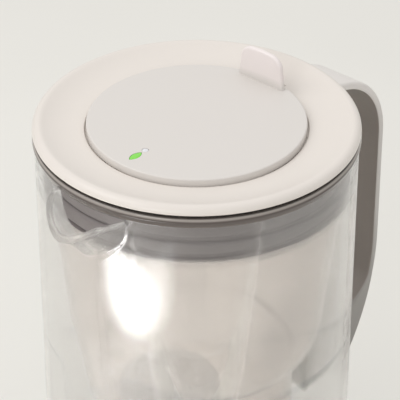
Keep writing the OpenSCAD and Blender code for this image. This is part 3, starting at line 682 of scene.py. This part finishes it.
# %% Points of the glass, column by column
UP = 26  # rows from below the beak's foot to the lip
verts, index, faces = [], {}, []


def vert(key, p):
    index[key] = len(verts)
    verts.append(tuple(float(c) for c in p))


def polar(r, deg):
    a = math.radians(deg)
    return (-r * math.cos(a), r * math.sin(a))


def across(c):
    """Column c of the beak's sector as 1 at its +y end to -1 at its -y end."""
    return 1 - 2 * c / (NB - 1)


def in_mouth(c):
    return j0 < c < j1


def from_corner(c, count):
    """0 at the mouth's corners, 1 from count columns on."""
    return min(1.0, min(c - j0, j1 - c) / count)


def floor_corner(r, z, degrees):
    """The round from the floor at height z to the wall of radius r."""
    return [
        (r - CORNER + CORNER * math.sin(a), z + CORNER - CORNER * math.cos(a))
        for a in np.radians(degrees)
    ]


def beak_column(c, lip, r_wall, foot_z, u):
    """Point of column c at share u of the way from below the foot to the lip."""
    lx, ly = lip[c]
    zl = lip_height(lx) if in_mouth(c) else ZW
    z = (foot_z - LEAD) + (zl - foot_z + LEAD) * u
    low = np.radians(SECTOR * across(c))
    a = low + (math.atan2(ly, -lx) - low) * smooth(u)
    wall = np.array([-r_wall * math.cos(a), r_wall * math.sin(a)])
    if math.hypot(lx, ly) <= r_wall or not in_mouth(c):
        return (*wall, z)
    side = min(1.0, abs(across(c)) / 0.52)
    leave = foot_z + (zl - foot_z) * 0.82 * side**1.5
    g = max(0.0, (z - leave) / (zl - leave))
    g = g**1.25 * (1 - 0.12 * math.sin(math.pi * g))
    return (*(wall * (1 - g) + np.array([lx, ly]) * g), z)


turn = np.linspace(0, 90, 9)
base = [(r, 0.0) for r in (0.0, 20.0, 40.0, 55.0)] + floor_corner(R, 0.0, turn)
inner_base = floor_corner(RI, FLOOR, turn[::-1]) + [(r, FLOOR) for r in (50.0, 36.0, 18.0, 0.0)]
low_rows = np.linspace(CORNER, FOOT_Z - LEAD, 30)[1:]
vert("south", (0, 0, 0))
vert("north", (0, 0, FLOOR))
for c in range(cols):
    beak = c < NB
    deg = SECTOR * across(c) if beak else rest[c - NB]
    for k, (r, z) in enumerate(base[1:], 1):
        vert(("base", k, c), (*polar(r, deg), z))
    for k, z in enumerate(low_rows):
        vert(("wall", k, c), (*polar(R, deg), z))
        # the inside starts above its own corner and catches up with the outside's rows
        vert(("wall_in", k, c), (*polar(RI, deg), max(z, FLOOR + CORNER + 0.5 * k + 0.4)))
    for k in range(1, UP + 1):
        if beak:
            vert(("up", k, c), beak_column(c, outer_lip, R, FOOT_Z, k / UP))
            vert(("up_in", k, c), beak_column(c, inner_lip, RI, FOOT_Z + 2.0, k / UP))
        else:
            z = (FOOT_Z - LEAD) + (ZW - FOOT_Z + LEAD) * (k / UP)
            vert(("up", k, c), (*polar(R, deg), z))
            vert(("up_in", k, c), (*polar(RI, deg), z))
    for k, (r, z) in enumerate(inner_base[:-1]):
        vert(("base_in", k, c), (*polar(r, deg), z))


# %% Faces of the walls
def quad(*keys):
    """A face from four keys, of which some may be the same point."""
    q = [index[key] for key in keys]
    q = [v for i, v in enumerate(q) if v != q[i - 1]]
    if len(set(q)) > 2:
        faces.append(tuple(q))


low, up = range(len(low_rows)), range(1, UP + 1)
last_in = len(inner_base) - 2
rows_out = [("base", k) for k in range(1, len(base))]
rows_out += [("wall", k) for k in low] + [("up", k) for k in up]
rows_in = [("up_in", k) for k in up[::-1]] + [("wall_in", k) for k in low[::-1]]
rows_in += [("base_in", k) for k in range(last_in + 1)]
for c in range(cols):
    c2 = (c + 1) % cols
    faces.append((index["south"], index[("base", 1, c2)], index[("base", 1, c)]))
    faces.append((index["north"], index[("base_in", last_in, c)], index[("base_in", last_in, c2)]))
    for rows in (rows_out, rows_in):
        for a, b in zip(rows[:-1], rows[1:]):
            quad((*a, c), (*a, c2), (*b, c2), (*b, c))

# %% Bead, lip and mouth
bead = rounded(
    [
        (RI, ZW + 0.1, 0), (RI, H, 1.2), (R + 0.3, H, 1.6), (R + 0.8, H - 2.2, 1.6),
        (R, H - 4.6, 1.4), (R, ZW + 0.1, 0),
    ]
)
bead = np.concatenate([[[RI, ZW]], bead[1:-1], [[R, ZW]]])
last = len(bead) - 1
for c in range(cols):
    deg = ang_out[c] if c < NB else rest[c - NB]
    lift = 0.0
    if in_mouth(c):
        deg = ang_out[j0] + (ang_out[j1] - ang_out[j0]) * (c - j0) / (j1 - j0)
        lift = smooth(from_corner(c, 3)) * (RING_LOW - ZW)
    for k, (r, z) in enumerate(bead):
        if k in (0, last) and not in_mouth(c):
            index[("ring", k, c)] = index[("up" if k else "up_in", UP, c)]
        else:
            vert(("ring", k, c), (*polar(r, deg), z + (lift if k in (0, last) else 0.0)))
# the lip and the ring's lower edge go through the wall in strips, one at the mouth's corners
NS = 7
LIP_RISE, RING_DROP, RING_RISE = 1.25, 0.7, 0.35
for c in range(j0, j1 + 1):
    ends = {
        "lip": (("up", UP, c), ("up_in", UP, c)), "mouth": (("ring", last, c), ("ring", 0, c))
    }
    for name, (o, i) in ends.items():
        po, pi = np.array(verts[index[o]]), np.array(verts[index[i]])
        for s in range(1, NS):
            if name == "mouth" and not in_mouth(c):
                index[(name, s, c)] = index[("lip", s, c)]
                continue
            a = math.pi * s / NS
            swell = math.sin(a) * from_corner(c, 5)
            rise = LIP_RISE * swell if name == "lip" else RING_RISE - RING_DROP * swell
            vert((name, s, c), (po + pi) / 2 + (po - pi) / 2 * math.cos(a) + [0, 0, rise])
        index[(name, 0, c)], index[(name, NS, c)] = index[o], index[i]
for c in range(cols):
    c2 = (c + 1) % cols
    for k in range(last):
        quad(("ring", k, c), ("ring", k, c2), ("ring", k + 1, c2), ("ring", k + 1, c))
    if j0 <= c < j1:
        for s in range(NS):
            quad(("lip", s, c), ("lip", s, c2), ("lip", s + 1, c2), ("lip", s + 1, c))
            quad(("mouth", s, c), ("mouth", s + 1, c), ("mouth", s + 1, c2), ("mouth", s, c2))
jug = new_object("glass_jug_blown", (verts, faces))
bm = bmesh.new()
bm.from_mesh(jug.data)
print("open or shared edges", sum(len(e.link_faces) != 2 for e in bm.edges))
bm.free()
piece(jug, "jug", "glass", ["glass_jug"], m_glass, m_rim)
# the outer faces of the rim get the bead with its painted reflection bands
for poly in jug.data.polygons:
    c = poly.center * 1000
    outward = poly.normal.x * c.x + poly.normal.y * c.y > 0 or poly.normal.z > 0.7
    if RIM_LOW + 0.0003 < poly.center.z < RIM_HIGH and math.hypot(c.x, c.y) > 68.1 and outward:
        poly.material_index = 1

# %% [markdown]
# ## Handle
#
# One band of plastic, bent in arcs and bonded to the glass above and below. Its section is a
# flat bar with soft edges. Towards the foot the inside face sweeps away from the outside one
# until the two meet the glass as an arched pad. Each section is a rounded bar between a point
# on the outer line and a point on the inner line.

# %% Handle
PAD_R = 70.4  # face of the bonding pads
T2, HALF_W = 2.0, 13.0  # half of the band's thickness and width
SHOULDER, SHOULDER_R, SHOULDER_TURN = (79.5, 205.16), 38, 73.74
GRIP, GRIP_R, GRIP_TURN = np.array([20.5, 146.16]), 97, 36.87
BLEND = 12  # degrees of the grip's curve before the inside face leaves the outside one
FOOT, FOOT_R = (88.54, 91.38), 9.7
NQ = 56  # sections of the foot
HEAD = [(70.4, 247.4), (90.14, 241.64)]  # the straight start of the band's middle line

line = [(*p, 0.28, 0.96) for p in np.linspace(*HEAD, 14)[:-1]]
for x, z in arc((0, 0), 1, SHOULDER_TURN, 0, 40)[:-1]:
    line.append((SHOULDER[0] + SHOULDER_R * x, SHOULDER[1] + SHOULDER_R * z, x, z))
line += [(117.5, z, 1, 0) for z in np.linspace(SHOULDER[1], GRIP[1], 24)[:-1]]
for x, z in arc((0, 0), 1, 0, -BLEND, 9)[:-1]:
    line.append((GRIP[0] + GRIP_R * x, GRIP[1] + GRIP_R * z, x, z))
outer, inner = [], []
for x, z, nx, nz in line:
    flare = max(0.0, 1 - (x - PAD_R) / 6.5) ** 2.2
    outer.append((x + nx * T2, z + nz * (T2 + 3.4 * flare)))
    inner.append((x - nx * T2, z - nz * (T2 + 3.6 * flare)))
outer[0], inner[0] = (PAD_R, 252.7), (PAD_R, 240.1)
fan = [0.0] * len(line)

foot_line = np.concatenate(
    [
        arc(GRIP, GRIP_R + T2, -BLEND, -GRIP_TURN, 26),
        arc(FOOT, FOOT_R + T2, -GRIP_TURN, -90, 22),
        [(x, FOOT[1] - FOOT_R - T2) for x in np.linspace(FOOT[0], PAD_R, 10)[1:]],
    ]
)
P0 = arc(GRIP, GRIP_R - T2, -BLEND, -BLEND, 1)[0]
P3 = np.array([PAD_R, 109.6])
P1, P2 = P0 + [-2.2, -9.5], P3 + [21.0, 0.2]
q = np.linspace(0, 1, NQ)[:, None]
d = lengths(foot_line)
outer += list(points_at(q[:, 0] * d[-1], d, foot_line))
inner += list((1 - q) ** 3 * P0 + 3 * q * (1 - q) ** 2 * P1 + 3 * q * q * (1 - q) * P2 + q**3 * P3)
fan += list(smooth(q[:, 0]))


def bar_section(w, depth, ro, riw, rid, steps=7):
    """Rounded bar: across -w..w, from 0 on the outside to depth on the inside."""
    ro, rid = min(ro, depth * 0.45), min(rid, depth * 0.9)
    a, b = np.linspace(0, math.pi / 2, steps + 1), np.linspace(0, math.pi / 2, 2 * steps + 1)
    wide, deep = np.arange(1, 8) / 8, np.arange(1, 4) / 4
    side = depth - rid - ro
    runs = [
        (-w + ro - ro * np.cos(a), ro - ro * np.sin(a)),
        (-w + ro + 2 * (w - ro) * wide, 0 * wide),
        (w - ro + ro * np.sin(a), ro - ro * np.cos(a)),
        (w + 0 * deep, ro + side * deep),
        (w - riw + riw * np.cos(b), depth - rid + rid * np.sin(b)),
        (w - riw - 2 * (w - riw) * wide, depth + 0 * wide),
        (-w + riw - riw * np.sin(b), depth - rid + rid * np.cos(b)),
        (-w + 0 * deep, depth - rid - side * deep),
    ]
    return np.concatenate([np.stack(run, 1) for run in runs])


rings = []
for o, i, f in zip(np.array(outer), np.array(inner), fan):
    depth = float(np.linalg.norm(i - o))
    way = (i - o) / depth
    sec = bar_section(HALF_W + f, depth, 1.3, 1.4 + 12.5 * f**2, 1.4 + 9.4 * f**2)
    rings.append([(o[0] + way[0] * b, a, o[1] + way[1] * b) for a, b in sec])
rings = np.array(rings)
# both ends follow the round of the glass
for first, step, count in ((0, 1, 6), (-1, -1, 8)):
    for k in range(count):
        ring = rings[first + step * k]
        ring[:, 0] -= (PAD_R - np.sqrt(PAD_R**2 - ring[:, 1] ** 2)) * (1 - k / count)
handle = new_object("handle_band", lofted(rings), 70)
piece(handle, "jug", "handle_plastic", ["handle_grip"], m_handle, m_handle_inside_shade)
m = rings.shape[1]
# the inside face between band and glass gets the painted shade material
for poly in handle.data.polygons:
    at = {v % m for v in poly.vertices}
    inside_face = min(at) >= 33 and max(at) <= 55
    if len(poly.vertices) == 4 and inside_face and poly.center.x > (PAD_R + 1) * MM:
        poly.material_index = 1

# %% [markdown]
# ## Lid ring
#
# An injection-moulded ring: a rounded shoulder at the edge, a shallow dish that falls to the
# flap, a ledge that carries the flap, and a skirt that goes down inside the funnel's collar.
# Behind the tab, a slot takes the flap's knuckle and two ears hold the pin.

# %% Lid ring
HINGE_X, HINGE_Z = 48.8, 255.4
SHOULDER_X, SHOULDER_Z = 66.9, 258.0  # centre of the rounded shoulder
DISH_R, DISH_Z = 48.3, 257.4  # where the dish meets the flap
s = np.linspace(0, 1, 15)[1:-1]
dish = np.stack([SHOULDER_X + (DISH_R - SHOULDER_X) * s, DISH_Z + 3.9 * (1 - s) ** 2.2], 1)
shoulder = [
    (SHOULDER_X + 3.55 * math.cos(a) ** 0.9, SHOULDER_Z + 3.3 * math.sin(a) ** 1.1, 0)
    for a in np.radians(np.linspace(14, 90, 10))
]
section = (
    [(59.99, 257.6, 0.2), (69.5, 257.6, 0.3), (70.45, 258.0, 0.3)]
    + shoulder
    + [(x, z, 0) for x, z in dish]
    + [(48.15, 257.4, 0.35), (47.9, 256.1, 0.1), (42.8, 256.1, 0.3), (42.8, 251.8, 0.4)]
    + [(44.8, 251.8, 0.4), (44.8, 254.0, 0.5), (57.99, 254.0, 0.8), (57.99, 244.0, 0.6)]
    + [(59.99, 244.0, 0.6)]
)
lid = new_object("lid_ring_moulded", turned(refined(rounded(section, 4), 2.4), 224), 50)
EAR_Y, EAR_W = 7.4, 6.0
for y in (-EAR_Y - EAR_W, EAR_Y):
    boolean(lid, "ear", block((45.8, y, 252.4), (52.2, y + EAR_W, 254.5)), "UNION")
boolean(lid, "slot", block((41.6, -EAR_Y, 249.0), (51.2, EAR_Y, 261.0)))
boolean(lid, "bore", rod(HINGE_X, HINGE_Z, 0.84, -12.3, 12.3))
shade(lid, 40)
piece(lid, "lid", "lid_plastic", ["lid_ring"], m_lid)

# %% [markdown]
# ## Flap
#
# A round disc with a soft upper edge. The tab at the back is a curved-topped plate that grows
# out of the disc. Under the disc are a plug ring, the knuckle for the pin and the pod that
# holds the indicator's parts. It is built as a turned disc to which the rest is joined, and
# the openings for the leaf-shaped lens, the round window and the pin are cut last.

# %% Flap
top_z, low_z = 260.4, 256.4  # top of the disc, and its lower edge
under_z = top_z - 2.2
disc = rounded(
    [(0, top_z, 0), (46.0, top_z, 0), (47.3, top_z, 1.2), (47.3, low_z, 0.5), (45.5, low_z, 0.3)]
    + [(45.5, under_z, 0.5), (42.2, under_z, 0.4), (42.2, 253.0, 0.6), (40.4, 253.0, 0.6)]
    + [(40.4, under_z, 0.5), (0, under_z, 0)],
    5,
)


def plate(outline, x0, x1, r, steps=4):
    """An upright plate across X with rounded edges; outline is (y, z), counter-clockwise."""
    tan = np.roll(outline, -1, 0) - np.roll(outline, 1, 0)
    tan /= np.linalg.norm(tan, axis=1)[:, None]
    nor = np.stack([tan[:, 1], -tan[:, 0]], 1)
    quarter = [math.pi / 2 * k / steps for k in range(steps + 1)]
    edge = [(r * (1 - math.sin(a)), r * (1 - math.cos(a))) for a in quarter]
    layers = [(x0 + x, inset) for x, inset in edge[::-1]] + [(x1 - x, inset) for x, inset in edge]
    return lofted([[(x, *p) for p in outline - nor * inset] for x, inset in layers])


tab = rounded(
    [
        (-12.9, top_z - 1.2, 0), (12.9, top_z - 1.2, 0), (12.5, top_z + 1.2, 2.0),
        (10.7, 275.3, 8.6), (0.0, 275.9, 12.0), (-10.7, 275.3, 8.6), (-12.5, top_z + 1.2, 2.0),
    ],
    12,
)
flap = new_object("flap_moulded", turned(refined(disc, 3.0)), 50)
POD_X0, POD_X1, POD_Y, POD_Z, POD_T = -38.8, -3.8, 14.5, 247.4, 1.4
joint_z = under_z + 0.1  # just inside the disc, so that the pieces join
half_t = POD_T / 2
walls = [((x, -POD_Y), (x + POD_T, POD_Y)) for x in (POD_X0, POD_X1 - POD_T)]
walls += [((POD_X0 + half_t, y), (POD_X1 - half_t, y + POD_T)) for y in (-POD_Y, POD_Y - POD_T)]
boss = rounded([(0, 249.1, 0), (2.2, 249.1, 0.3), (2.2, joint_z, 0), (0, joint_z, 0)], 3)
parts = [rod(HINGE_X, HINGE_Z, 1.9, -7, 7, 48), block((43.9, -6.98, 253.52), (48.6, 6.98, 257.28))]
parts += [plate(refined(tab, 1.6), 42.2, 44.6, 1.05)]
parts += [block((*lo, POD_Z), (*hi, joint_z)) for lo, hi in walls]
parts += [turned(boss, 32, (x, y)) for x in (-29.8, -8.8) for y in (11.3, -11.3)]
for shape in parts:
    boolean(flap, "part", shape, "UNION")


def leaf(length, width, grow, n=28):
    """Leaf outline round the origin, grown outward by grow."""
    r = (length**2 / 4 + width**2 / 4) / width
    a = math.asin((length / 2) / r)
    side = [(r * math.sin(t), r * math.cos(t) - r + width / 2) for t in np.linspace(-a, a, n)]
    pts = side + [(x, -y) for x, y in side[::-1][1:-1]]
    return [(x * (1 + 2 * grow / length), y * (1 + 2 * grow / width)) for x, y in pts]


LENS_X, LENS, LENS_LOW = -38.6, (7.6, 3.4), 257.4
WINDOW_X, WINDOW_R = -32.5, 1.4
boolean(flap, "lens_hole", prism(leaf(*LENS, 0.12), under_z - 1, top_z + 1, LENS_X))
boolean(flap, "window_hole", prism(circle(WINDOW_R + 0.1), under_z - 1, top_z + 1, WINDOW_X))
boolean(flap, "pin_hole", rod(HINGE_X, HINGE_Z, 0.88, -8, 8))
shade(flap, 40)
piece(flap, "flap", "flap_plastic", ["flap"], m_flap)
lens = prism(leaf(*LENS, 0.0), LENS_LOW, top_z, LENS_X, 0, 0.35)
lens = new_object("indicator_lens_leaf", lens, 60)
piece(lens, "flap", "green_lens", ["indicator_lens"], m_green)
window = prism(circle(WINDOW_R), LENS_LOW, top_z, WINDOW_X, 0, 0.3)
window = new_object("indicator_window_round", window, 60)
piece(window, "flap", "clear_window", ["indicator_window"], m_window_glint)

# %% [markdown]
# ## Funnel
#
# Frosted polypropylene, moulded in one piece: a thin flange on the rim, a collar with the
# seal's bed, a bowl that rounds in to a well, and a chute that carries the wall further down
# where it faces the spout. The side is one skin whose radius changes with height and
# direction, so that the chute grows out of the bowl as it does in the mould.

# %% Funnel
COLLAR = 229.5  # lower edge of the collar, from which depths are measured down
WALL = 2.0
BOWL_D, BOWL_TURN, WELL_R = 58, 28, 44  # where the bowl rounds in, over what depth, to what
CHUTE_D, CHUTE_TURN, CHUTE_R, CHUTE_HALF = 100, 10, 40, 25.0
CHUTE_LOW = 138.0  # depth of the chute's end


def side_r(d):
    """The drafted side, which draws in a little faster with depth."""
    return 63.6 - 0.078 * d - 0.00046 * d * d


def bowl_r(d):
    if d <= BOWL_D:
        return side_r(d)
    t = min(1.0, (d - BOWL_D) / BOWL_TURN)
    return WELL_R + (side_r(BOWL_D) - WELL_R) * math.cos(math.asin(t))


def chute_r(d, phi):
    """Radius of the chute's side at depth d, phi from the spout's direction."""
    r = side_r(d)
    if d > CHUTE_D:
        t = min(1.0, (d - CHUTE_D) / CHUTE_TURN)
        r = CHUTE_R + (r - CHUTE_R) * math.sqrt(max(0.0, 1 - t**2.4))
    s = abs(math.sin(phi))
    if math.cos(phi) <= 0.2:
        return 0.0
    return min(r, CHUTE_HALF / s) if s > 1e-6 else r


def funnel_r(d, phi):
    """The bowl or the chute, whichever is wider, with a soft change between them."""
    a, b = bowl_r(d), chute_r(d, phi) if d > 50 else 0.0
    if b <= 0:
        return a
    k = 2.2
    h = max(k - abs(a - b), 0.0) / k
    return max(a, b) + h * h * k * 0.25


phis = np.linspace(0, 2 * math.pi, 256, endpoint=False)
depths = [np.linspace(0.01, BOWL_D, 18), np.linspace(61, 86, 14), np.linspace(88, 112, 20)]
depths = np.concatenate(depths + [[116, 121, 127, 132, CHUTE_LOW]])
head = rounded(
    [(62.2, 257.6, 0.4), (68.5, 257.6, 0.4), (68.5, 256.4, 0.3), (66.2, 256.4, 0.3)]
    + [(66.2, 253.0, 0.2), (64.2, 253.0, 0.2), (64.2, 233.5, 0.2), (66.2, 233.5, 0.2)]
    + [(66.2, COLLAR, 0.9)],
    3,
)[:-4]
head = [tuple(p) for p in head] + [(66.2, 230.3), (65.6, 229.6), (64.6, 229.5)]
skin = []
for phi in phis:
    sec = head + [(funnel_r(d, phi), COLLAR - d) for d in depths]
    sec += [(42.9, COLLAR - CHUTE_LOW), (42.0, COLLAR - CHUTE_LOW + 0.4)]
    for d in depths[::-1]:
        inside_r = funnel_r(max(d - 0.4, 0), phi) - WALL
        sec.append((inside_r if d > 1 else 61.7, COLLAR - d))
    sec += [(62.2, COLLAR + 0.6), (62.2, 243.0)]
    skin.append([(-r * math.cos(phi), r * math.sin(phi), z) for r, z in sec])
skin = np.array(skin)


def pierced_disc(z0, z1, r, hole_r, hole_x, n=128):
    """A flat disc with an off-centre round hole."""
    rim, hole = circle(r, n), [(hole_x + x, y) for x, y in circle(hole_r, n)]
    edges = ((rim, z0), (rim, z1), (hole, z1), (hole, z0))
    rings = np.array([[(x, y, z) for x, y in line] for line, z in edges])
    return rings.reshape(-1, 3), grid_faces(4, n)


CX = -18.6  # axis of the cartridge's socket
RIB = [(1.0, -0.8), (-0.2, -0.75), (-0.5, -0.3), (-0.5, 0.3), (-0.2, 0.75), (1.0, 0.8)]
rib = []
for d in np.linspace(2, 108, 40):
    x = -(side_r(d) if d < CHUTE_D else chute_r(d, 0.0))
    rib.append([(x + out, y, COLLAR - d) for out, y in RIB])
shapes = [(skin.reshape(-1, 3), grid_faces(*skin.shape[:2]))]
shapes += [pierced_disc(107.5, 109.5, 42.8, 20.4, CX), lofted(rib)]
funnel = new_object("funnel_skin", joined(shapes), 65)
piece(funnel, "funnel", "frosted_plastic", ["funnel"], m_funnel)

# %% [markdown]
# ## Seal
#
# A soft silicone sleeve on the funnel's collar, with two grooves that leave three bulging
# ribs. It grips the glass through friction, and through the wall it reads as grey bands.

# %% Seal
SEAL_LOW, SEAL_TOP, SEAL_IN = 233.5, 253.0, 64.2
GROOVE_R, RIB_EDGE, RIB_R, RIB_CROWN = 65.05, 65.7, 66.3, 66.38
sec = [(SEAL_IN, SEAL_LOW)]
for lo, hi in ((SEAL_LOW, 234.1), (235.2, 242.4), (243.5, SEAL_TOP)):
    soft = min(0.9, (hi - lo) / 2.2)
    if lo > SEAL_LOW:
        sec += [(GROOVE_R, lo - 0.2), (RIB_EDGE, lo)]
    sec += [(RIB_R, lo + soft), (RIB_CROWN, (lo + hi) / 2), (RIB_R, hi - soft)]
    if hi < SEAL_TOP:
        sec += [(RIB_EDGE, hi), (GROOVE_R, hi + 0.2)]
sec.append((SEAL_IN, SEAL_TOP))
seal = new_object("funnel_seal_ribbed", turned(refined(np.array(sec), 1.2)), 60)
piece(seal, "funnel", "seal_silicone", ["funnel_seal"], m_seal)

# %% [markdown]
# ## Cartridge
#
# The cap is a shallow drum with vents and a pull ring, over a cup of granules between two
# meshes. The ring is a flat arch with round edges, where a finger lifts the cartridge out.

# %% Cartridge cap
VENTS, VENT_R, VENT_AT = 12, 1.1, 12.43
SLOTS = 8
cap = rounded(
    [(0, 133.5, 0), (22.6, 133.5, 2.6), (22.6, 112.5, 0.5), (21.0, 112.5, 0.3)]
    + [(21.0, 131.9, 2.0), (0, 131.9, 0)]
)
cap = new_object("cartridge_cap_drum", turned(refined(cap, 2.5), 128, (CX, 0)), 50)
cutters = [
    prism(circle(VENT_R, 20), 130.5, 135, CX + x, y) for x, y in circle(VENT_AT, VENTS)
]
slot, f = block((19.6, -1.1, 117.5), (25.6, 1.1, 126.5))
for c, s in circle(1.0, SLOTS):
    cutters.append(([(CX + x * c - y * s, x * s + y * c, z) for x, y, z in slot], f))
boolean(cap, "vents", joined(cutters))

# %% Pull ring
RING_R, RING_Z, RING_ROOT, RING_X = 12.0, 136.0, 132.8, CX - 8
foot = np.array([(RING_R, RING_ROOT), (RING_R, RING_ROOT + 1.6)])
band = np.concatenate([foot, arc((0, RING_Z), RING_R, 0, 180, 41), foot[::-1] * [-1, 1]])
ring_sec = rounded([(-1.2, -1.5, 0.8), (1.2, -1.5, 0.8), (1.2, 1.5, 0.8), (-1.2, 1.5, 0.8)], 4)
rings = []
for i, (y, z) in enumerate(band):
    t = band[min(i + 1, len(band) - 1)] - band[max(i - 1, 0)]
    ty, tz = t / np.linalg.norm(t)
    rings.append([(RING_X + x, y + tz * out, z - ty * out) for x, out in ring_sec])
ring = new_object("pull_ring_arch", lofted(rings), 60)
piece(ring, "cartridge", "cartridge_plastic", (), m_cart)
shade(cap, 40)
piece(cap, "cartridge", "cartridge_plastic", ["cartridge_cap"], m_cart)

# %% [markdown]
# ## Small parts
#
# The rest of the solids are right as they are: pads, meshes, granules and the indicator's
# parts under the flap. Each gets its own finish.

# %% Finishes on the carried-over solids
finish = {
    "handle_top_pad": m_pad, "handle_foot_pad": m_pad, "cartridge_cup": m_cup,
    "cartridge_top_mesh": m_mesh, "cartridge_bottom_mesh": m_mesh, "cartridge_seal": m_seal,
    "filter_granules": m_granules, "lid_seal": m_seal, "hinge_pin": m_steel,
    "indicator_led": m_led, "circuit_board": m_board, "tact_switch": m_black,
    "coin_cell": m_steel, "battery_clip": m_brass, "battery_spring": m_brass,
    "pod_cover": m_flap, "pod_seal": m_button, "pod_screws": m_steel, "reset_button": m_button,
}
for name, mat in finish.items():
    ob = nodes[name]
    if not ob.material_slots:
        ob.data.materials.append(mat)
    for s in ob.material_slots:
        s.material = mat
print("finished", len(finish), "carried-over solids")

# %% [markdown]
# ## Floor, light and camera
#
# A plain pale floor under a soft even sky. A broad key lamp hangs high on the left and a
# cooler fill stands lower, left of the camera. A narrow softbox low before the spout makes
# the bright patch on the funnel; it fades towards its edges. The camera stands where the
# photograph's did, from the fit of the lid's and the flap's circles.

# %% Floor
FLOOR_HALF = 6.0  # metres
t = material("floor_pale")
v = t.coords()
tones = [(0.3, srgb(230, 228, 222)), (0.7, srgb(234, 232, 226))]
t.shader(
    Base_Color=t.ramp(t.noise(v, 3.0, 2.0), tones),
    Normal=t.bump(t.noise(v, 40.0), 0.1, 0.001),
    Roughness=0.8,
    Specular_IOR_Level=0.1,
)
me = bpy.data.meshes.new("floor")
corners = [(x * FLOOR_HALF, y * FLOOR_HALF, 0) for x, y in ((-1, -1), (1, -1), (1, 1), (-1, 1))]
me.from_pydata(corners, [], [(0, 1, 2, 3)])
me.materials.append(t.owner)
placed("floor", me)
print("floor", 2 * FLOOR_HALF, "m wide")

# %% World
# what the camera, the glass and the gloss see is an even pale tone; the rest is lit by a sky
# that is brighter overhead
SKY_LOW, SKY_HIGH = 0.36, 1.12
world = bpy.data.worlds.new("soft_sky")
scene.world = world
t = Tree(world, "ShaderNodeOutputWorld")
path = t.add("LightPath").outputs
seen = t.maths("MAXIMUM", path["Is Camera Ray"], path["Is Transmission Ray"])
seen = t.maths("MAXIMUM", seen, path["Is Glossy Ray"])
sky = t.span(t.split(t.add("TexCoord").outputs["Generated"])[2], SKY_LOW, SKY_HIGH)
t.show(t.add("Background", Color=t.blend(seen, sky, srgb(232, 230, 224))).outputs[0])
print("sky from", SKY_LOW, "to", SKY_HIGH)


# %% Lamps
def lamp(name, place, target, size, watts, colour=(1, 1, 1)):
    data = bpy.data.lights.new(name, "AREA")
    data.energy, data.color, data.size = watts, colour, size
    ob = placed(name, data)
    ob.location = place
    ob.rotation_euler = (Vector(target) - Vector(place)).to_track_quat("-Z", "Y").to_euler()
    return data


lamp("key", (-0.75, 0.55, 1.3), (0, 0, 0.18), 0.9, 4.8, (1.0, 0.985, 0.97))
lamp("fill", (-1.25, -0.3, 0.8), (0, 0, 0.2), 0.5, 2.3, (0.97, 0.98, 1.0))
low_box = lamp("low_softbox", (-0.25, -0.012, 0.076), (0, -0.012, 0.16), 0.27, 0.1)
low_box.shape, low_box.size_y = "RECTANGLE", 0.05
low_box.spread = math.radians(110)
t = Tree(low_box, "ShaderNodeOutputLight")
fade = 1.0
for u in t.split(t.add("NewGeometry").outputs["Parametric"])[:2]:
    hump = t.maths("MULTIPLY", t.maths("MULTIPLY", u, t.maths("SUBTRACT", 1.0, u)), 4.0)
    fade = t.maths("MULTIPLY", hump, fade)
strength = t.maths("MULTIPLY", t.maths("POWER", fade, 1.5), 2.2)
t.show(t.add("Emission", Strength=strength).outputs[0])
print("lamps", [light.name for light in bpy.data.lights])

# %% Camera
TILT = math.radians(33.52)  # below the horizon
AIM = (0.7524, 0.6587)  # where it looks, in plan
cam_data = bpy.data.cameras.new("photo_camera")
cam_data.lens, cam_data.sensor_width = 191.9, 36.0
cam_data.clip_start, cam_data.clip_end = 0.05, 50
cam = placed("photo_camera", cam_data)
cam.location = (-0.5843, -0.5134, 0.7344)
ahead = Vector((math.cos(TILT) * AIM[0], math.cos(TILT) * AIM[1], -math.sin(TILT)))
cam.rotation_euler = ahead.to_track_quat("-Z", "Y").to_euler()
scene.camera = cam
scene.view_settings.view_transform = "Standard"
print("camera at", [round(v, 3) for v in cam.location], "lens", round(cam_data.lens, 1))
